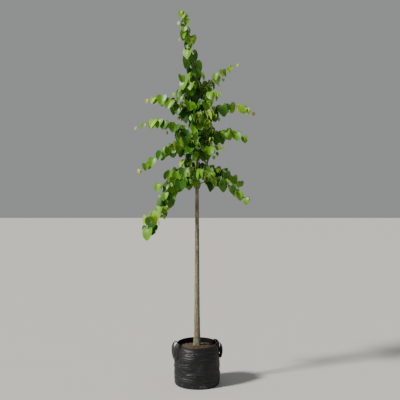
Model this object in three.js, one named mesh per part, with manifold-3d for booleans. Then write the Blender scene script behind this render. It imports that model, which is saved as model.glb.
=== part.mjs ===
// A young heart-leaved tree, grown as a clear-stemmed standard, on its root ball in a round woven grow bag
// with two carrying handles. Millimetres, +Z up, origin at the middle of the bag's flat underside. +X is to
// the right, -Y faces the viewer. The trunk, each bough and each mass of foliage is one closed solid.
import * as THREE from "three";
import { mergeVertices } from "three/addons/utils/BufferGeometryUtils.js";
import Module from "manifold-3d";

const wasm = await Module();
wasm.setup();

const UP = new THREE.Vector3(0, 0, 1);
const CLEARANCE = 0.3; // gap between pieces that touch
const degrees = THREE.MathUtils.degToRad;

// ---------------------------------------------------------------- driving dimensions

// Grow bag and root ball
const BAG_HEIGHT = 350;
const BAG_BELLY_RADIUS = 191;
const BAG_RIM_RADIUS = 166;
const BAG_FOOT_RADIUS = 174;
const BAG_FOOT_ROUNDING = 26; // height over which the foot rounds out to the belly
const BAG_SHOULDER = 195; // height where the wall starts to draw in
const BAG_WALL = 3;
const BAG_SIDES = 32;
const SOIL_HEIGHT = 325;
const SOIL_DOME = 12; // how far the soil's edge lies below its middle
const SOIL_FLAT_RADIUS = 60;

// Carrying handles, two loops of webbing sewn to the rim that hang down outside it
const HANDLE_AZIMUTHS = { right: 14, left: 194 };
const HANDLE_HALF_GAP = 48; // from the loop's middle to each leg
const HANDLE_DROP = 140; // rim to the loop's lowest point
const HANDLE_SEAM = [-32, -22, -12, -5]; // heights from the rim where a leg lies on the wall
const HANDLE_CREST = 8;
const HANDLE_STANDOFF = 38; // how far the legs stand off the rim
const STRAP_WIDTH = 32;
const STRAP_THICKNESS = 2.6;
const STRAP_TWIST = 60; // degrees that the legs turn edge on to the wall
const STRAP_FLAT_FROM = 0.85; // share of the way from the loop's bottom to its end where it is flat again
const STRAP_STEPS = 24;

// Trunk
const TRUNK_TOP = 2500;
const TREE_TOP = 3165; // tip of the leading shoot
const LEAN_START = 1600;
const LEAN_AT_TOP = -123; // sideways travel of the leader's tip
const LEAN_POWER = 3.5;
const TRUNK_FOOT_RADIUS = 25.5;
const TRUNK_TIP_RADIUS = 2;
const FLARE = 5.5; // root flare over the foot's radius
const FLARE_HEIGHT = 150;
const TRUNK_SIDES = 10;
const TRUNK_STEPS = 18;

// Boughs
const LIMB_SHARE = 0.13; // share of a bough that is bare before its foliage starts
const LIMB_BEND = 0.45; // where along its reach a bough turns outwards
const LIMB_SIDES = 4;
const LIMB_STEPS = 2;
const LIMB_FOOT_RADIUS = 5.2;
const LIMB_TIP_RADIUS = 3.4;
const SHOOT_TIP_RADIUS = 1.1;
const TWIG_SIDES = 3;

// Leaves
const LEAF_WIDTH = 106;
const YOUNGEST_LEAF = 0.42; // size of the tip's leaves over the others
const LEAF_THICKNESS = 0.028; // of its width, at the middle
const LEAF_FOLD = 0.3; // rise of each half per unit of width
const LEAF_CURL = 0.3; // how far the tip curls down
const OUTLINE_ANGLES = [0, 62, 132]; // corners of half the blade, from its tip round the stalk's end
const BLADE_MIDDLE = 0.28; // where the blade is thickest, from the stalk's end
const PETIOLE = 0.3; // stalk length over the leaf's width
const PETIOLE_RADIUS = 0.9;
const PAIR_SPACING = 80;
const LEADER_SPACING = 50;
const UPRIGHT_FACING = 0.5; // radians that an upright shoot's leaves turn towards the front or the back
const LEAF_TRIES = 9;
const TWIGS = [[0.06, 0.38], [0.24, 0.34]]; // share of the leafy length where each leaves, reach over it

// Short leafy spurs between the boughs, wound up the trunk
const SPUR_COUNT = 8;
const SPUR_LOWEST = 1760;
const SPUR_SPACING = 78;
const SPUR_FIRST_BEARING = -5;
const SPUR_TURN = 137.5; // degrees from each spur to the next
const SPUR_REACH = 135;
const SPUR_RISE = 60;

// Each bough: where it leaves the trunk, its bearing in degrees from +X towards +Y, how far it reaches, how
// high its bend is over its foot, the height of its tip, and the size of its leaves over the usual. Some have
// their own size of the youngest leaves over the others, on the stem and on the twigs, spacing of the pairs,
// or side twigs.
const BOUGHS = [
  { name: "low_right", foot: 1683, bearing: -8, reach: 420, rise: 122, tip: 1560, leaf: 1, youngest: 0.75 },
  {
    name: "low_left_back", foot: 1690, bearing: 168, reach: 180, rise: 70, tip: 1695,
    leaf: 1.1, youngest: 0.9,
  },
  { name: "low_front", foot: 1725, bearing: -78, reach: 370, rise: 170, tip: 1740, leaf: 0.95 },
  { name: "low_back", foot: 1765, bearing: 84, reach: 410, rise: 200, tip: 1760, leaf: 1 },
  {
    name: "second_right", foot: 1755, bearing: 20, reach: 405, rise: 125, tip: 1705,
    leaf: 0.98, youngest: 0.75,
  },
  {
    name: "drooping_left", foot: 1827, bearing: 192, reach: 400, rise: 95, tip: 1295,
    leaf: 0.86, youngest: 1.6, spacing: 66, youngestOnTwigs: 1.35, twigs: [[0.76, 0.26], [0.84, 0.22]],
  },
  { name: "middle_back_left", foot: 1885, bearing: 122, reach: 420, rise: 250, tip: 1960, leaf: 1 },
  { name: "middle_front_right", foot: 1870, bearing: -52, reach: 350, rise: 210, tip: 1975, leaf: 0.9 },
  { name: "middle_front_left", foot: 1920, bearing: -122, reach: 370, rise: 240, tip: 1990, leaf: 0.95 },
  { name: "middle_left", foot: 1963, bearing: 184, reach: 493, rise: 105, tip: 1800, leaf: 0.95 },
  {
    name: "middle_right", foot: 1963, bearing: -5, reach: 405, rise: 270, tip: 2080,
    leaf: 1, youngest: 0.7,
  },
  { name: "middle_back_right", foot: 2010, bearing: 58, reach: 410, rise: 290, tip: 2110, leaf: 1 },
  { name: "long_left", foot: 2045, bearing: 175, reach: 528, rise: 275, tip: 2172, leaf: 0.96 },
  { name: "upper_front", foot: 2085, bearing: -88, reach: 390, rise: 300, tip: 2190, leaf: 1 },
  { name: "upper_back", foot: 2140, bearing: 98, reach: 410, rise: 330, tip: 2280, leaf: 1 },
  { name: "long_right", foot: 2150, bearing: 4, reach: 495, rise: 345, tip: 2295, leaf: 0.98 },
  { name: "upper_left", foot: 2218, bearing: 178, reach: 435, rise: 262, tip: 2405, leaf: 1 },
  { name: "high_front_right", foot: 2250, bearing: -48, reach: 290, rise: 260, tip: 2420, leaf: 0.98 },
  { name: "high_back_left", foot: 2300, bearing: 128, reach: 320, rise: 280, tip: 2500, leaf: 0.95 },
  { name: "top_right", foot: 2390, bearing: 8, reach: 365, rise: 280, tip: 2725, leaf: 0.8 },
  {
    name: "top_left", foot: 2395, bearing: 205, reach: 145, rise: 125, tip: 2590,
    leaf: 1.05, youngest: 0.8, spacing: 50,
  },
  { name: "top_back", foot: 2440, bearing: 76, reach: 230, rise: 220, tip: 2680, leaf: 0.9 },
  {
    name: "inner_drooping_left", foot: 1793, bearing: 199, reach: 305, rise: 90, tip: 1420,
    leaf: 1, twigs: [[0.12, 0.18], [0.5, 0.2]],
  },
];

// ---------------------------------------------------------------- materials

const finish = (color, roughness) => new THREE.MeshStandardMaterial({ color, roughness, metalness: 0 });
const MATERIALS = {
  wovenBag: finish(0x1c1d20, 0.5),
  webbing: finish(0x17181a, 0.55),
  soil: finish(0x4a3b28, 0.95),
  bark: finish(0x8d8468, 0.85),
  shootBark: finish(0x6f5f3c, 0.7),
  foliage: finish(0x3f7a2c, 0.55),
};

// ---------------------------------------------------------------- solids

/** A closed geometry as a solid that can be cut, joined and measured against others. */
function solid(geometry) {
  geometry.deleteAttribute("uv");
  geometry.deleteAttribute("normal");
  const merged = mergeVertices(geometry, 1e-4);
  const triVerts = new Uint32Array(merged.index.array);
  return new wasm.Manifold(
    new wasm.Mesh({ numProp: 3, vertProperties: merged.attributes.position.array, triVerts }),
  );
}

/** The largest body of a solid, with any hollow in it filled. */
function mainBody(manifold) {
  return manifold.decompose().sort((a, b) => b.volume() - a.volume())[0];
}

/** The geometry of a solid. */
function geometryOf(manifold) {
  const mesh = manifold.getMesh();
  const geometry = new THREE.BufferGeometry();
  geometry.setAttribute("position", new THREE.BufferAttribute(mesh.vertProperties, 3));
  geometry.setIndex(new THREE.BufferAttribute(mesh.triVerts, 1));
  return geometry;
}

const tree = new THREE.Group();

function addPiece(name, geometry, material) {
  const mesh = new THREE.Mesh(geometry, material);
  mesh.name = name;
  tree.add(mesh);
}

/**
 * A round tapering rod along a curve, between two shares of its length. `side` is the level direction square
 * to the plane that the curve lies in, which keeps the rod from twisting.
 */
function taperedRod(curve, side, from, to, radiusAt, sides, steps) {
  const geometry = new THREE.CylinderGeometry(1, 1, 1, sides, steps);
  const place = geometry.attributes.position;
  const vertex = new THREE.Vector3();
  for (let i = 0; i < place.count; i += 1) {
    vertex.fromBufferAttribute(place, i);
    const share = THREE.MathUtils.lerp(from, to, THREE.MathUtils.clamp(vertex.y + 0.5, 0, 1));
    const along = curve.getTangentAt(share);
    const across = new THREE.Vector3().crossVectors(along, side);
    const radius = radiusAt(share);
    const point = curve.getPointAt(share);
    point.addScaledVector(across, vertex.x * radius);
    point.addScaledVector(side, vertex.z * radius);
    place.setXYZ(i, point.x, point.y, point.z);
  }
  return geometry;
}

// ---------------------------------------------------------------- repeatable chance

/** A number from 0 to 1 that depends only on its two keys, so that every run grows the same tree. */
function chance(seed, index) {
  const scattered = Math.sin(seed * 12.9898 + index * 78.233) * 43758.5453;
  return scattered - Math.floor(scattered);
}

/** A repeatable number from -amount to amount. */
const sway = (seed, index, amount) => (2 * chance(seed, index) - 1) * amount;

// ---------------------------------------------------------------- bag, soil and handles

/** The bag's outer radius: out from the rounded foot, upright, and drawn in over the shoulder to the rim. */
function bagRadius(height) {
  const foot = Math.min(1, height / BAG_FOOT_ROUNDING);
  const belly = BAG_FOOT_RADIUS + (BAG_BELLY_RADIUS - BAG_FOOT_RADIUS) * Math.sqrt(1 - (1 - foot) ** 2);
  const drawn = THREE.MathUtils.smoothstep(height, BAG_SHOULDER, BAG_HEIGHT + 30);
  const full = THREE.MathUtils.smoothstep(BAG_HEIGHT, BAG_SHOULDER, BAG_HEIGHT + 30);
  return belly - ((BAG_BELLY_RADIUS - BAG_RIM_RADIUS) * drawn) / full;
}

const BAG_LEVELS = [0, BAG_WALL, 12, BAG_FOOT_ROUNDING, BAG_SHOULDER, 240, 285, 318];

/** A solid of revolution about Z, from a profile of radius and height. */
function turned(profile, sides) {
  const points = profile.map(([radius, height]) => new THREE.Vector2(radius, height));
  return new THREE.LatheGeometry(points, sides).rotateX(Math.PI / 2);
}

function makeBag() {
  const outside = [...BAG_LEVELS, BAG_HEIGHT].map((height) => [bagRadius(height), height]);
  const inside = [...BAG_LEVELS.slice(1), BAG_HEIGHT]
    .reverse()
    .map((height) => [bagRadius(height) - BAG_WALL, height]);
  return turned([[0, 0], ...outside, ...inside, [0, BAG_WALL]], BAG_SIDES);
}

function makeSoil() {
  const reach = (height) => bagRadius(height) - BAG_WALL - 2 * CLEARANCE;
  const floor = BAG_WALL + CLEARANCE;
  const edge = SOIL_HEIGHT - SOIL_DOME;
  const levels = [floor, ...BAG_LEVELS.filter((height) => height > floor && height < edge), edge];
  const wall = levels.map((height) => [reach(height), height]);
  return turned([[0, floor], ...wall, [SOIL_FLAT_RADIUS, SOIL_HEIGHT], [0, SOIL_HEIGHT]], BAG_SIDES);
}

/** A point beside the bag: turn in millimetres along the rim from the handle's middle, radius, and height. */
function besideBag(azimuth, turn, radius, height) {
  const angle = degrees(azimuth) + turn / BAG_RIM_RADIUS;
  return new THREE.Vector3(radius * Math.cos(angle), radius * Math.sin(angle), height);
}

/** One loop of webbing: up from its seam, over the rim, down a standing leg, round the bottom and back. */
function handleLine(azimuth) {
  const lift = 2 * CLEARANCE + STRAP_THICKNESS / 2;
  const flush = (up) => bagRadius(BAG_HEIGHT + up) - BAG_RIM_RADIUS + lift;
  const legs = [
    ...HANDLE_SEAM.map((up) => ({ turn: 1, off: flush(up), up })),
    { turn: 1, off: HANDLE_STANDOFF * 0.42, up: HANDLE_CREST },
    { turn: 0.98, off: HANDLE_STANDOFF * 0.92, up: -HANDLE_DROP * 0.1 },
    { turn: 0.92, off: HANDLE_STANDOFF, up: -HANDLE_DROP * 0.43 },
    { turn: 0.74, off: HANDLE_STANDOFF * 0.92, up: -HANDLE_DROP * 0.78 },
  ];
  const place = ({ turn, off, up }, way) =>
    besideBag(azimuth, way * turn * HANDLE_HALF_GAP, BAG_RIM_RADIUS + off, BAG_HEIGHT + up);
  const bottomHeight = BAG_HEIGHT - HANDLE_DROP + STRAP_WIDTH / 2;
  const bottom = besideBag(azimuth, 0, bagRadius(bottomHeight) + 8, bottomHeight);
  return new THREE.CatmullRomCurve3([
    ...legs.map((leg) => place(leg, -1)),
    bottom,
    ...legs.toReversed().map((leg) => place(leg, 1)),
  ]);
}

/**
 * The direction across the webbing. It faces out from the bag round the bottom of the loop, turns edge on in
 * the legs, and lies level from the top of each leg over the crest to the seam.
 */
function acrossStrap(point, along, share) {
  const out = new THREE.Vector3(point.x, point.y, 0).normalize();
  const fromBottom = Math.abs(2 * share - 1);
  const way = share < 0.5 ? 1 : -1;
  const level = new THREE.Vector3().crossVectors(UP, out).multiplyScalar(way);
  const across = new THREE.Vector3().crossVectors(out, along);
  across.lerp(level, THREE.MathUtils.smoothstep(fromBottom, 0.45, 0.6)).normalize();
  const twist = Math.sin(Math.PI * Math.min(1, fromBottom / STRAP_FLAT_FROM)) ** 2;
  return across.applyAxisAngle(along, -way * degrees(STRAP_TWIST) * twist);
}

function makeHandle(azimuth) {
  const line = handleLine(azimuth);
  const geometry = new THREE.BoxGeometry(STRAP_WIDTH, 1, STRAP_THICKNESS, 1, STRAP_STEPS, 1);
  const place = geometry.attributes.position;
  const vertex = new THREE.Vector3();
  for (let i = 0; i < place.count; i += 1) {
    vertex.fromBufferAttribute(place, i);
    const share = THREE.MathUtils.clamp(vertex.y + 0.5, 0, 1);
    const point = line.getPointAt(share);
    const along = line.getTangentAt(share);
    const across = acrossStrap(point, along, share);
    const face = new THREE.Vector3().crossVectors(across, along).normalize();
    point.addScaledVector(across, vertex.x).addScaledVector(face, vertex.z);
    place.setXYZ(i, point.x, point.y, point.z);
  }
  return geometry;
}

// ---------------------------------------------------------------- trunk and boughs

/** The trunk's middle line, upright to the first boughs and then leaning left by a power of the height. */
class TrunkLine extends THREE.Curve {
  getPoint(share, target = new THREE.Vector3()) {
    const height = THREE.MathUtils.lerp(SOIL_HEIGHT, TREE_TOP, share);
    const above = Math.max(0, (height - LEAN_START) / (TREE_TOP - LEAN_START));
    return target.set(LEAN_AT_TOP * above ** LEAN_POWER, 0, height);
  }
}

const trunkLine = new TrunkLine();
const TRUNK_SIDE = new THREE.Vector3(0, 1, 0);
const shareAtHeight = (height) => (height - SOIL_HEIGHT) / (TREE_TOP - SOIL_HEIGHT);

function trunkRadius(share) {
  const taper = THREE.MathUtils.lerp(TRUNK_FOOT_RADIUS, TRUNK_TIP_RADIUS, share);
  return taper + FLARE * Math.exp((-share * (TREE_TOP - SOIL_HEIGHT)) / FLARE_HEIGHT);
}

/** The trunk up to the leading shoot, with more rings near the flare, grown by `extra` all round. */
function makeTrunk(extra = 0) {
  const end = shareAtHeight(TRUNK_TOP);
  const foot = CLEARANCE / (TREE_TOP - SOIL_HEIGHT);
  const crowded = { // rings lie closer together towards the foot
    getPointAt: (share) => trunkLine.getPoint(share ** 2),
    getTangentAt: (share) => (share < 0.01 ? UP.clone() : trunkLine.getTangent(share ** 2)),
  };
  const radius = (share) => trunkRadius(share ** 2) + extra;
  const ends = [Math.sqrt(foot), Math.sqrt(end)];
  return taperedRod(crowded, TRUNK_SIDE, ...ends, radius, TRUNK_SIDES, TRUNK_STEPS);
}

/** A bough's middle line, in one upright plane: it climbs, bends outwards and levels off or droops. */
function boughLine(bough) {
  const out = new THREE.Vector3(Math.cos(degrees(bough.bearing)), Math.sin(degrees(bough.bearing)), 0);
  const foot = trunkLine.getPoint(shareAtHeight(bough.foot));
  const bend = foot.clone().addScaledVector(out, bough.reach * LIMB_BEND).setZ(bough.foot + bough.rise);
  const tip = foot.clone().addScaledVector(out, bough.reach).setZ(bough.tip);
  const side = new THREE.Vector3().crossVectors(UP, out);
  return { curve: new THREE.QuadraticBezierCurve3(foot, bend, tip), side };
}

// ---------------------------------------------------------------- leaves

/** Distance from the stalk's end to a heart-shaped outline, at an angle from the tip, for a leaf 1 wide. */
function heart(angle) {
  const round = 0.4538 + 0.273 * Math.cos(angle) - 0.0375 * Math.cos(2 * angle);
  const lobes = 0.082 * Math.cos(3 * angle) - 0.0113 * Math.cos(4 * angle);
  const fromTip = Math.min(angle, 2 * Math.PI - angle);
  return round + lobes + 0.09 * Math.exp(-((fromTip / 0.22) ** 2));
}

/**
 * A leaf with its stalk as one thin closed solid. The blade is a ring of corners on the outline, with one
 * corner over and one under it, and the stalk is a three-sided rod from the notch back to the leaf's root.
 */
function leafSolid({ width, root, junction, down, face }) {
  const across = new THREE.Vector3().crossVectors(down, face);
  const at = (u, v, h) =>
    junction
      .clone()
      .addScaledVector(across, u * width)
      .addScaledVector(down, v * width)
      .addScaledVector(face, h * width);
  const corner = (angle) => {
    const u = heart(degrees(angle)) * Math.sin(degrees(angle));
    const v = heart(degrees(angle)) * Math.cos(degrees(angle));
    return at(u, v, LEAF_FOLD * Math.abs(u) - LEAF_CURL * v * Math.abs(v));
  };
  const bendWay = junction.clone().sub(root).normalize().sub(down).normalize();
  const rod = [
    across.clone().multiplyScalar(PETIOLE_RADIUS),
    across.clone().multiplyScalar(-PETIOLE_RADIUS),
    bendWay.multiplyScalar(-1.5 * PETIOLE_RADIUS),
  ];
  const right = OUTLINE_ANGLES.map((angle) => corner(angle));
  const left = OUTLINE_ANGLES.slice(1).map((angle) => corner(-angle)).reverse();
  const hollow = -LEAF_CURL * BLADE_MIDDLE ** 2;
  const points = [
    ...right,
    ...rod.slice(0, 2).map((offset) => junction.clone().add(offset)),
    ...left,
    junction.clone().add(rod[2]),
    ...rod.map((offset) => root.clone().add(offset)),
    at(0, BLADE_MIDDLE, hollow + LEAF_THICKNESS / 2),
    at(0, BLADE_MIDDLE, hollow - LEAF_THICKNESS / 2),
  ];
  const ring = right.length + 2 + left.length;
  const [notchRight, notchLeft, notchUnder] = [right.length, right.length + 1, ring];
  const [rootRight, rootLeft, rootUnder, over, under] = [1, 2, 3, 4, 5].map((step) => ring + step);
  const faces = [];
  for (let i = 0; i < ring; i += 1) {
    const next = (i + 1) % ring;
    faces.push(next, i, over);
    if (i !== notchRight) faces.push(i, next, under);
  }
  faces.push(notchRight, notchUnder, under, notchUnder, notchLeft, under);
  faces.push(notchRight, notchLeft, rootLeft, notchRight, rootLeft, rootRight);
  faces.push(notchUnder, notchRight, rootRight, notchUnder, rootRight, rootUnder);
  faces.push(notchLeft, notchUnder, rootUnder, notchLeft, rootUnder, rootLeft);
  faces.push(rootRight, rootLeft, rootUnder);
  return solid(new THREE.BufferGeometry().setFromPoints(points).setIndex(faces));
}

/** The point at a share of a shoot's length, on the straight run between its rings. */
function onShoot({ curve, from, steps }, share) {
  const run = ((share - from) / (1 - from)) * steps;
  const ring = Math.min(Math.floor(run), steps - 1);
  const atRing = (index) => curve.getPointAt(THREE.MathUtils.lerp(from, 1, index / steps));
  return atRing(ring).lerp(atRing(ring + 1), run - ring);
}

const placed = []; // every solid so far, which new ones stay clear of

function isClear(candidate, own) {
  const box = candidate.boundingBox();
  return !placed.some(({ part, bounds, of }) => {
    if (of === own) return false;
    for (let axis = 0; axis < 3; axis += 1) {
      if (box.min[axis] > bounds.max[axis] + 1 || box.max[axis] < bounds.min[axis] - 1) return false;
    }
    return candidate.minGap(part, 1) < 2 * CLEARANCE;
  });
}

function settle(part, of) {
  placed.push({ part, bounds: part.boundingBox(), of });
}

/**
 * Size of a leaf over the largest, by its share of the way along its shoot: the oldest are large, and past
 * the middle they lessen to the youngest, whose size is a share of that.
 */
function leafGrowth(share, youngest) {
  return (1 - 0.25 * share) * (1 - (1 - youngest) * THREE.MathUtils.smoothstep(share, 0.6, 1));
}

/**
 * One leaf on a shoot. Its stalk leaves the shoot sideways and the blade hangs from it, with its upper face
 * turned out. A leaf that would touch something is turned about the upright, made smaller, and at last left
 * out.
 */
function growLeaf(shoot, share, spread, facing, width, seed) {
  const along = shoot.curve.getTangentAt(share);
  const root = onShoot(shoot, share);
  const stalkWay = spread.clone().addScaledVector(along, 0.45 + sway(seed, 1, 0.25));
  stalkWay.addScaledVector(UP, 0.3).normalize();
  for (let attempt = 0; attempt < LEAF_TRIES; attempt += 1) {
    const size = width * (1 - 0.05 * attempt);
    const turn = facing + sway(seed, 2, 0.35) + (attempt % 2 ? 0.22 : -0.22) * attempt;
    const junction = root.clone().addScaledVector(stalkWay, PETIOLE * size);
    const outward = spread.clone().addScaledVector(along, 0.35).setZ(0).normalize();
    outward.applyAxisAngle(UP, turn);
    const down = outward.clone().multiplyScalar(0.42 + sway(seed, 3, 0.22));
    down.addScaledVector(along, 0.2 + sway(seed, 4, 0.2)).addScaledVector(UP, -0.9).normalize();
    const face = outward.clone().addScaledVector(UP, 0.3);
    face.addScaledVector(down, -face.dot(down)).normalize();
    const leaf = leafSolid({ width: size, root, junction, down, face });
    if (isClear(leaf, shoot.name)) {
      settle(leaf, "leaf");
      return leaf;
    }
  }
  return null;
}

/** Pairs of leaves along a shoot, closer together and smaller towards its tip. */
function growPairs(shoot) {
  const { curve, side, leaf, seed, upright } = shoot;
  const from = shoot.leafless ?? shoot.from;
  const length = curve.getLength() * (1 - from);
  const pairs = Math.max(shoot.fewest ?? 2, Math.round(length / (shoot.spacing ?? PAIR_SPACING)));
  const leaves = [];
  for (let pair = 0; pair < pairs; pair += 1) {
    const out = 1 - (1 - (pair + 0.3) / (pairs - 0.4)) ** 1.2;
    const share = from + (1 - from) * out;
    const grown = leafGrowth(THREE.MathUtils.lerp(shoot.young, 1, out), shoot.youngest ?? YOUNGEST_LEAF);
    const width = LEAF_WIDTH * leaf * grown * (1 + sway(seed, pair, 0.12));
    const steep = Math.max(0, Math.abs(curve.getTangentAt(share).z) - 0.6);
    const turn = upright ? (pair + 0.5) * (Math.PI / 2) : sway(seed, pair + 40, 0.45 + 2.4 * steep);
    const facing = upright ? -UPRIGHT_FACING * Math.sign(Math.sin(2 * turn)) : 0;
    for (const way of [0, Math.PI]) {
      const spread = side.clone().applyAxisAngle(curve.getTangentAt(share), turn + way);
      leaves.push(growLeaf(shoot, share, spread, facing, width, seed * 17 + pair * 2 + (way ? 1 : 0)));
    }
  }
  return leaves.filter(Boolean);
}

/** A side twig that leaves a shoot, runs out beside it and droops a little at its end. */
function sideTwig(shoot, share, way, reach, seed) {
  const root = onShoot(shoot, share);
  const along = shoot.curve.getTangentAt(share);
  const out = shoot.side.clone().multiplyScalar(way).addScaledVector(along, 0.9 + sway(seed, 5, 0.3));
  out.setZ(0).normalize();
  const bend = root.clone().addScaledVector(out, reach * 0.5);
  bend.addScaledVector(UP, reach * (0.3 + sway(seed, 6, 0.2)));
  const tip = root.clone().addScaledVector(out, reach).addScaledVector(UP, reach * sway(seed, 7, 0.3));
  const curve = new THREE.QuadraticBezierCurve3(root, bend, tip);
  const side = new THREE.Vector3().crossVectors(UP, out);
  const radius = (at) => THREE.MathUtils.lerp(1.9, SHOOT_TIP_RADIUS, at);
  const steps = 3;
  const part = solid(taperedRod(curve, side, 0, 1, radius, TWIG_SIDES, steps));
  const leaves = { young: 0.3, leaf: shoot.leaf * 0.86, youngest: shoot.youngestOnTwigs };
  return { curve, side, part, steps, from: 0, ...leaves, seed, name: shoot.name };
}

/**
 * A mass of foliage: its stem, side twigs and every leaf, joined into one solid. Its twigs give the share of
 * the stem where each side twig leaves it and how far it reaches.
 */
function growMass(shoot) {
  const shoots = [shoot];
  shoot.twigs.forEach(({ share, reach }, i) => {
    const twig = sideTwig(shoot, share, i % 2 ? 1 : -1, reach, shoot.seed * 31 + i);
    if (isClear(twig.part, shoot.name)) {
      settle(twig.part, shoot.name);
      shoots.push(twig);
    }
  });
  const leaves = shoots.flatMap((each) => growPairs(each));
  return mainBody(wasm.Manifold.union([...shoots.map((each) => each.part), ...leaves]));
}

// ---------------------------------------------------------------- the plant

addPiece("grow_bag", makeBag(), MATERIALS.wovenBag);
addPiece("root_ball", makeSoil(), MATERIALS.soil);
for (const [side, azimuth] of Object.entries(HANDLE_AZIMUTHS)) {
  addPiece(`handle_${side}`, makeHandle(azimuth), MATERIALS.webbing);
}

const trunk = solid(makeTrunk());
settle(trunk, "trunk");
addPiece("trunk", geometryOf(trunk), MATERIALS.bark);

const trunkSleeve = solid(makeTrunk(CLEARANCE));
const masses = [];

/** A rod that starts inside the trunk, cut clear of it. */
const clearOfTrunk = (rod) => mainBody(rod.subtract(trunkSleeve));

BOUGHS.forEach((bough, index) => {
  const { curve, side } = boughLine(bough);
  const radius = (share) =>
    share < LIMB_SHARE
      ? THREE.MathUtils.lerp(LIMB_FOOT_RADIUS, LIMB_TIP_RADIUS, share / LIMB_SHARE)
      : THREE.MathUtils.lerp(LIMB_TIP_RADIUS, SHOOT_TIP_RADIUS, (share - LIMB_SHARE) / (1 - LIMB_SHARE));
  const limb = clearOfTrunk(solid(taperedRod(curve, side, 0, LIMB_SHARE, radius, LIMB_SIDES, LIMB_STEPS)));
  settle(limb, `bough_${bough.name}`);
  addPiece(`bough_${bough.name}`, geometryOf(limb), MATERIALS.shootBark);

  const name = `foliage_${bough.name}`;
  const from = LIMB_SHARE + CLEARANCE / curve.getLength();
  const steps = 6;
  const part = solid(taperedRod(curve, side, from, 1, (share) => radius(share) * 0.98, TWIG_SIDES, steps));
  settle(part, name);
  const length = curve.getLength() * (1 - from);
  const twigs = (bough.twigs ?? TWIGS).map(([out, over]) => {
    return { share: THREE.MathUtils.lerp(from, 1, out), reach: length * over };
  });
  masses.push({ ...bough, name, curve, side, part, steps, from, young: 0, seed: index + 1, twigs });
});

// The leading shoot carries on from the trunk's top, with each pair of leaves turned a quarter from the last.
const leaderStart = shareAtHeight(TRUNK_TOP) + CLEARANCE / (TREE_TOP - SOIL_HEIGHT);
const leaderLine = {
  getPointAt: (share) => trunkLine.getPoint(share),
  getTangentAt: (share) => trunkLine.getTangent(Math.min(share, 0.999)),
  getLength: () => TREE_TOP - SOIL_HEIGHT,
};
const leaderRadius = (share) => trunkRadius(share) * 0.98;
const leader = {
  name: "foliage_leader",
  curve: leaderLine,
  side: TRUNK_SIDE,
  part: solid(taperedRod(leaderLine, TRUNK_SIDE, leaderStart, 1, leaderRadius, 4, 8)),
  steps: 8,
  from: leaderStart,
  leaf: 1.15,
  young: 0.1,
  youngest: 0.55,
  spacing: LEADER_SPACING,
  seed: 90,
  upright: true,
  twigs: [{ share: leaderStart + 0.012, reach: 100 }, { share: leaderStart + 0.03, reach: 90 }],
};
settle(leader.part, leader.name);
masses.push(leader);

// Each spur is turned on round the trunk until its stem is clear of the boughs and shoots beside it.
for (let i = 0; i < SPUR_COUNT; i += 1) {
  const name = `foliage_spur_${i + 1}`;
  const foot = SPUR_LOWEST + i * SPUR_SPACING;
  for (let bearing = SPUR_FIRST_BEARING + i * SPUR_TURN; ; bearing += 12) {
    const line = boughLine({ bearing, foot, reach: SPUR_REACH, rise: SPUR_RISE, tip: foot + SPUR_RISE });
    const steps = 2;
    const rod = taperedRod(line.curve, line.side, 0, 1, (share) => 2.8 - 1.4 * share, TWIG_SIDES, steps);
    const part = clearOfTrunk(solid(rod));
    if (isClear(part, "trunk")) {
      settle(part, name);
      const leaves = { leafless: 0.3, fewest: 3, leaf: 1, young: 0, youngest: 1 };
      masses.push({ ...line, ...leaves, name, part, steps, from: 0, seed: 60 + i, twigs: [] });
      break;
    }
  }
}

for (const shoot of masses) {
  addPiece(shoot.name, geometryOf(growMass(shoot)), MATERIALS.foliage);
}

export default tree;
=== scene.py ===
"""A young heart-leaved tree on its root ball, in a round woven grow bag with two strap handles.

The bag, the straps, the compost, the bark, the boughs and every leaf are surfaces worked out with numpy. The plant
grows by one seeded rule: a bough climbs from the trunk and arches over, its leaves stand in pairs and hang from their
stalks, and a leaf that would touch something is turned, made smaller or left out.
"""
import math

import bpy
import numpy as np
from mathutils import Matrix, Vector
from mathutils.bvhtree import BVHTree


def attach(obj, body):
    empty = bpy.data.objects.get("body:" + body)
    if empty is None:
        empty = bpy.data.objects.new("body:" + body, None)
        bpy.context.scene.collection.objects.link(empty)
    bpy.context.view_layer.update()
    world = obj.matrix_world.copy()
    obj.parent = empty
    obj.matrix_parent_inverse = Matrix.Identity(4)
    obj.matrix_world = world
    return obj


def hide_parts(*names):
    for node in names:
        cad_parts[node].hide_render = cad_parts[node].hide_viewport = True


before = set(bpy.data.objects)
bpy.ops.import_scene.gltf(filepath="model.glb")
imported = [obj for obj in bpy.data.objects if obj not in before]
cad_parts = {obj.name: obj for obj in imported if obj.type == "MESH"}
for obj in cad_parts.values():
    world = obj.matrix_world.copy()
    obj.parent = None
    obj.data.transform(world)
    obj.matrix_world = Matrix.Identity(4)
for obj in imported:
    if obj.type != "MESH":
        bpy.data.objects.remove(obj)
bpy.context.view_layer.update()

# ---- sizes, in metres

BAG_HEIGHT = 0.350
BAG_BELLY_RADIUS = 0.191
BAG_RIM_RADIUS = 0.166
BAG_FOOT_RADIUS = 0.174
BAG_FOOT_ROUNDING = 0.026
BAG_SHOULDER = 0.195
BAG_NECK = 0.380  # where the drawing in above the shoulder would end
BAG_WALL = 0.003
HEM_DEPTH = 0.026
SOIL_HEIGHT = 0.325
SOIL_DOME = 0.012

HANDLE_AZIMUTHS = {"right": 14, "left": 194}
HANDLE_HALF_GAP = 0.048
HANDLE_DROP = 0.140
HANDLE_SEAM = (-0.032, -0.022, -0.012, -0.005)
HANDLE_CREST = 0.008
HANDLE_STANDOFF = 0.038
STRAP_WIDTH = 0.032
STRAP_THICKNESS = 0.0026
STRAP_TWIST = 60
STRAP_FLAT_FROM = 0.85

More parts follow.
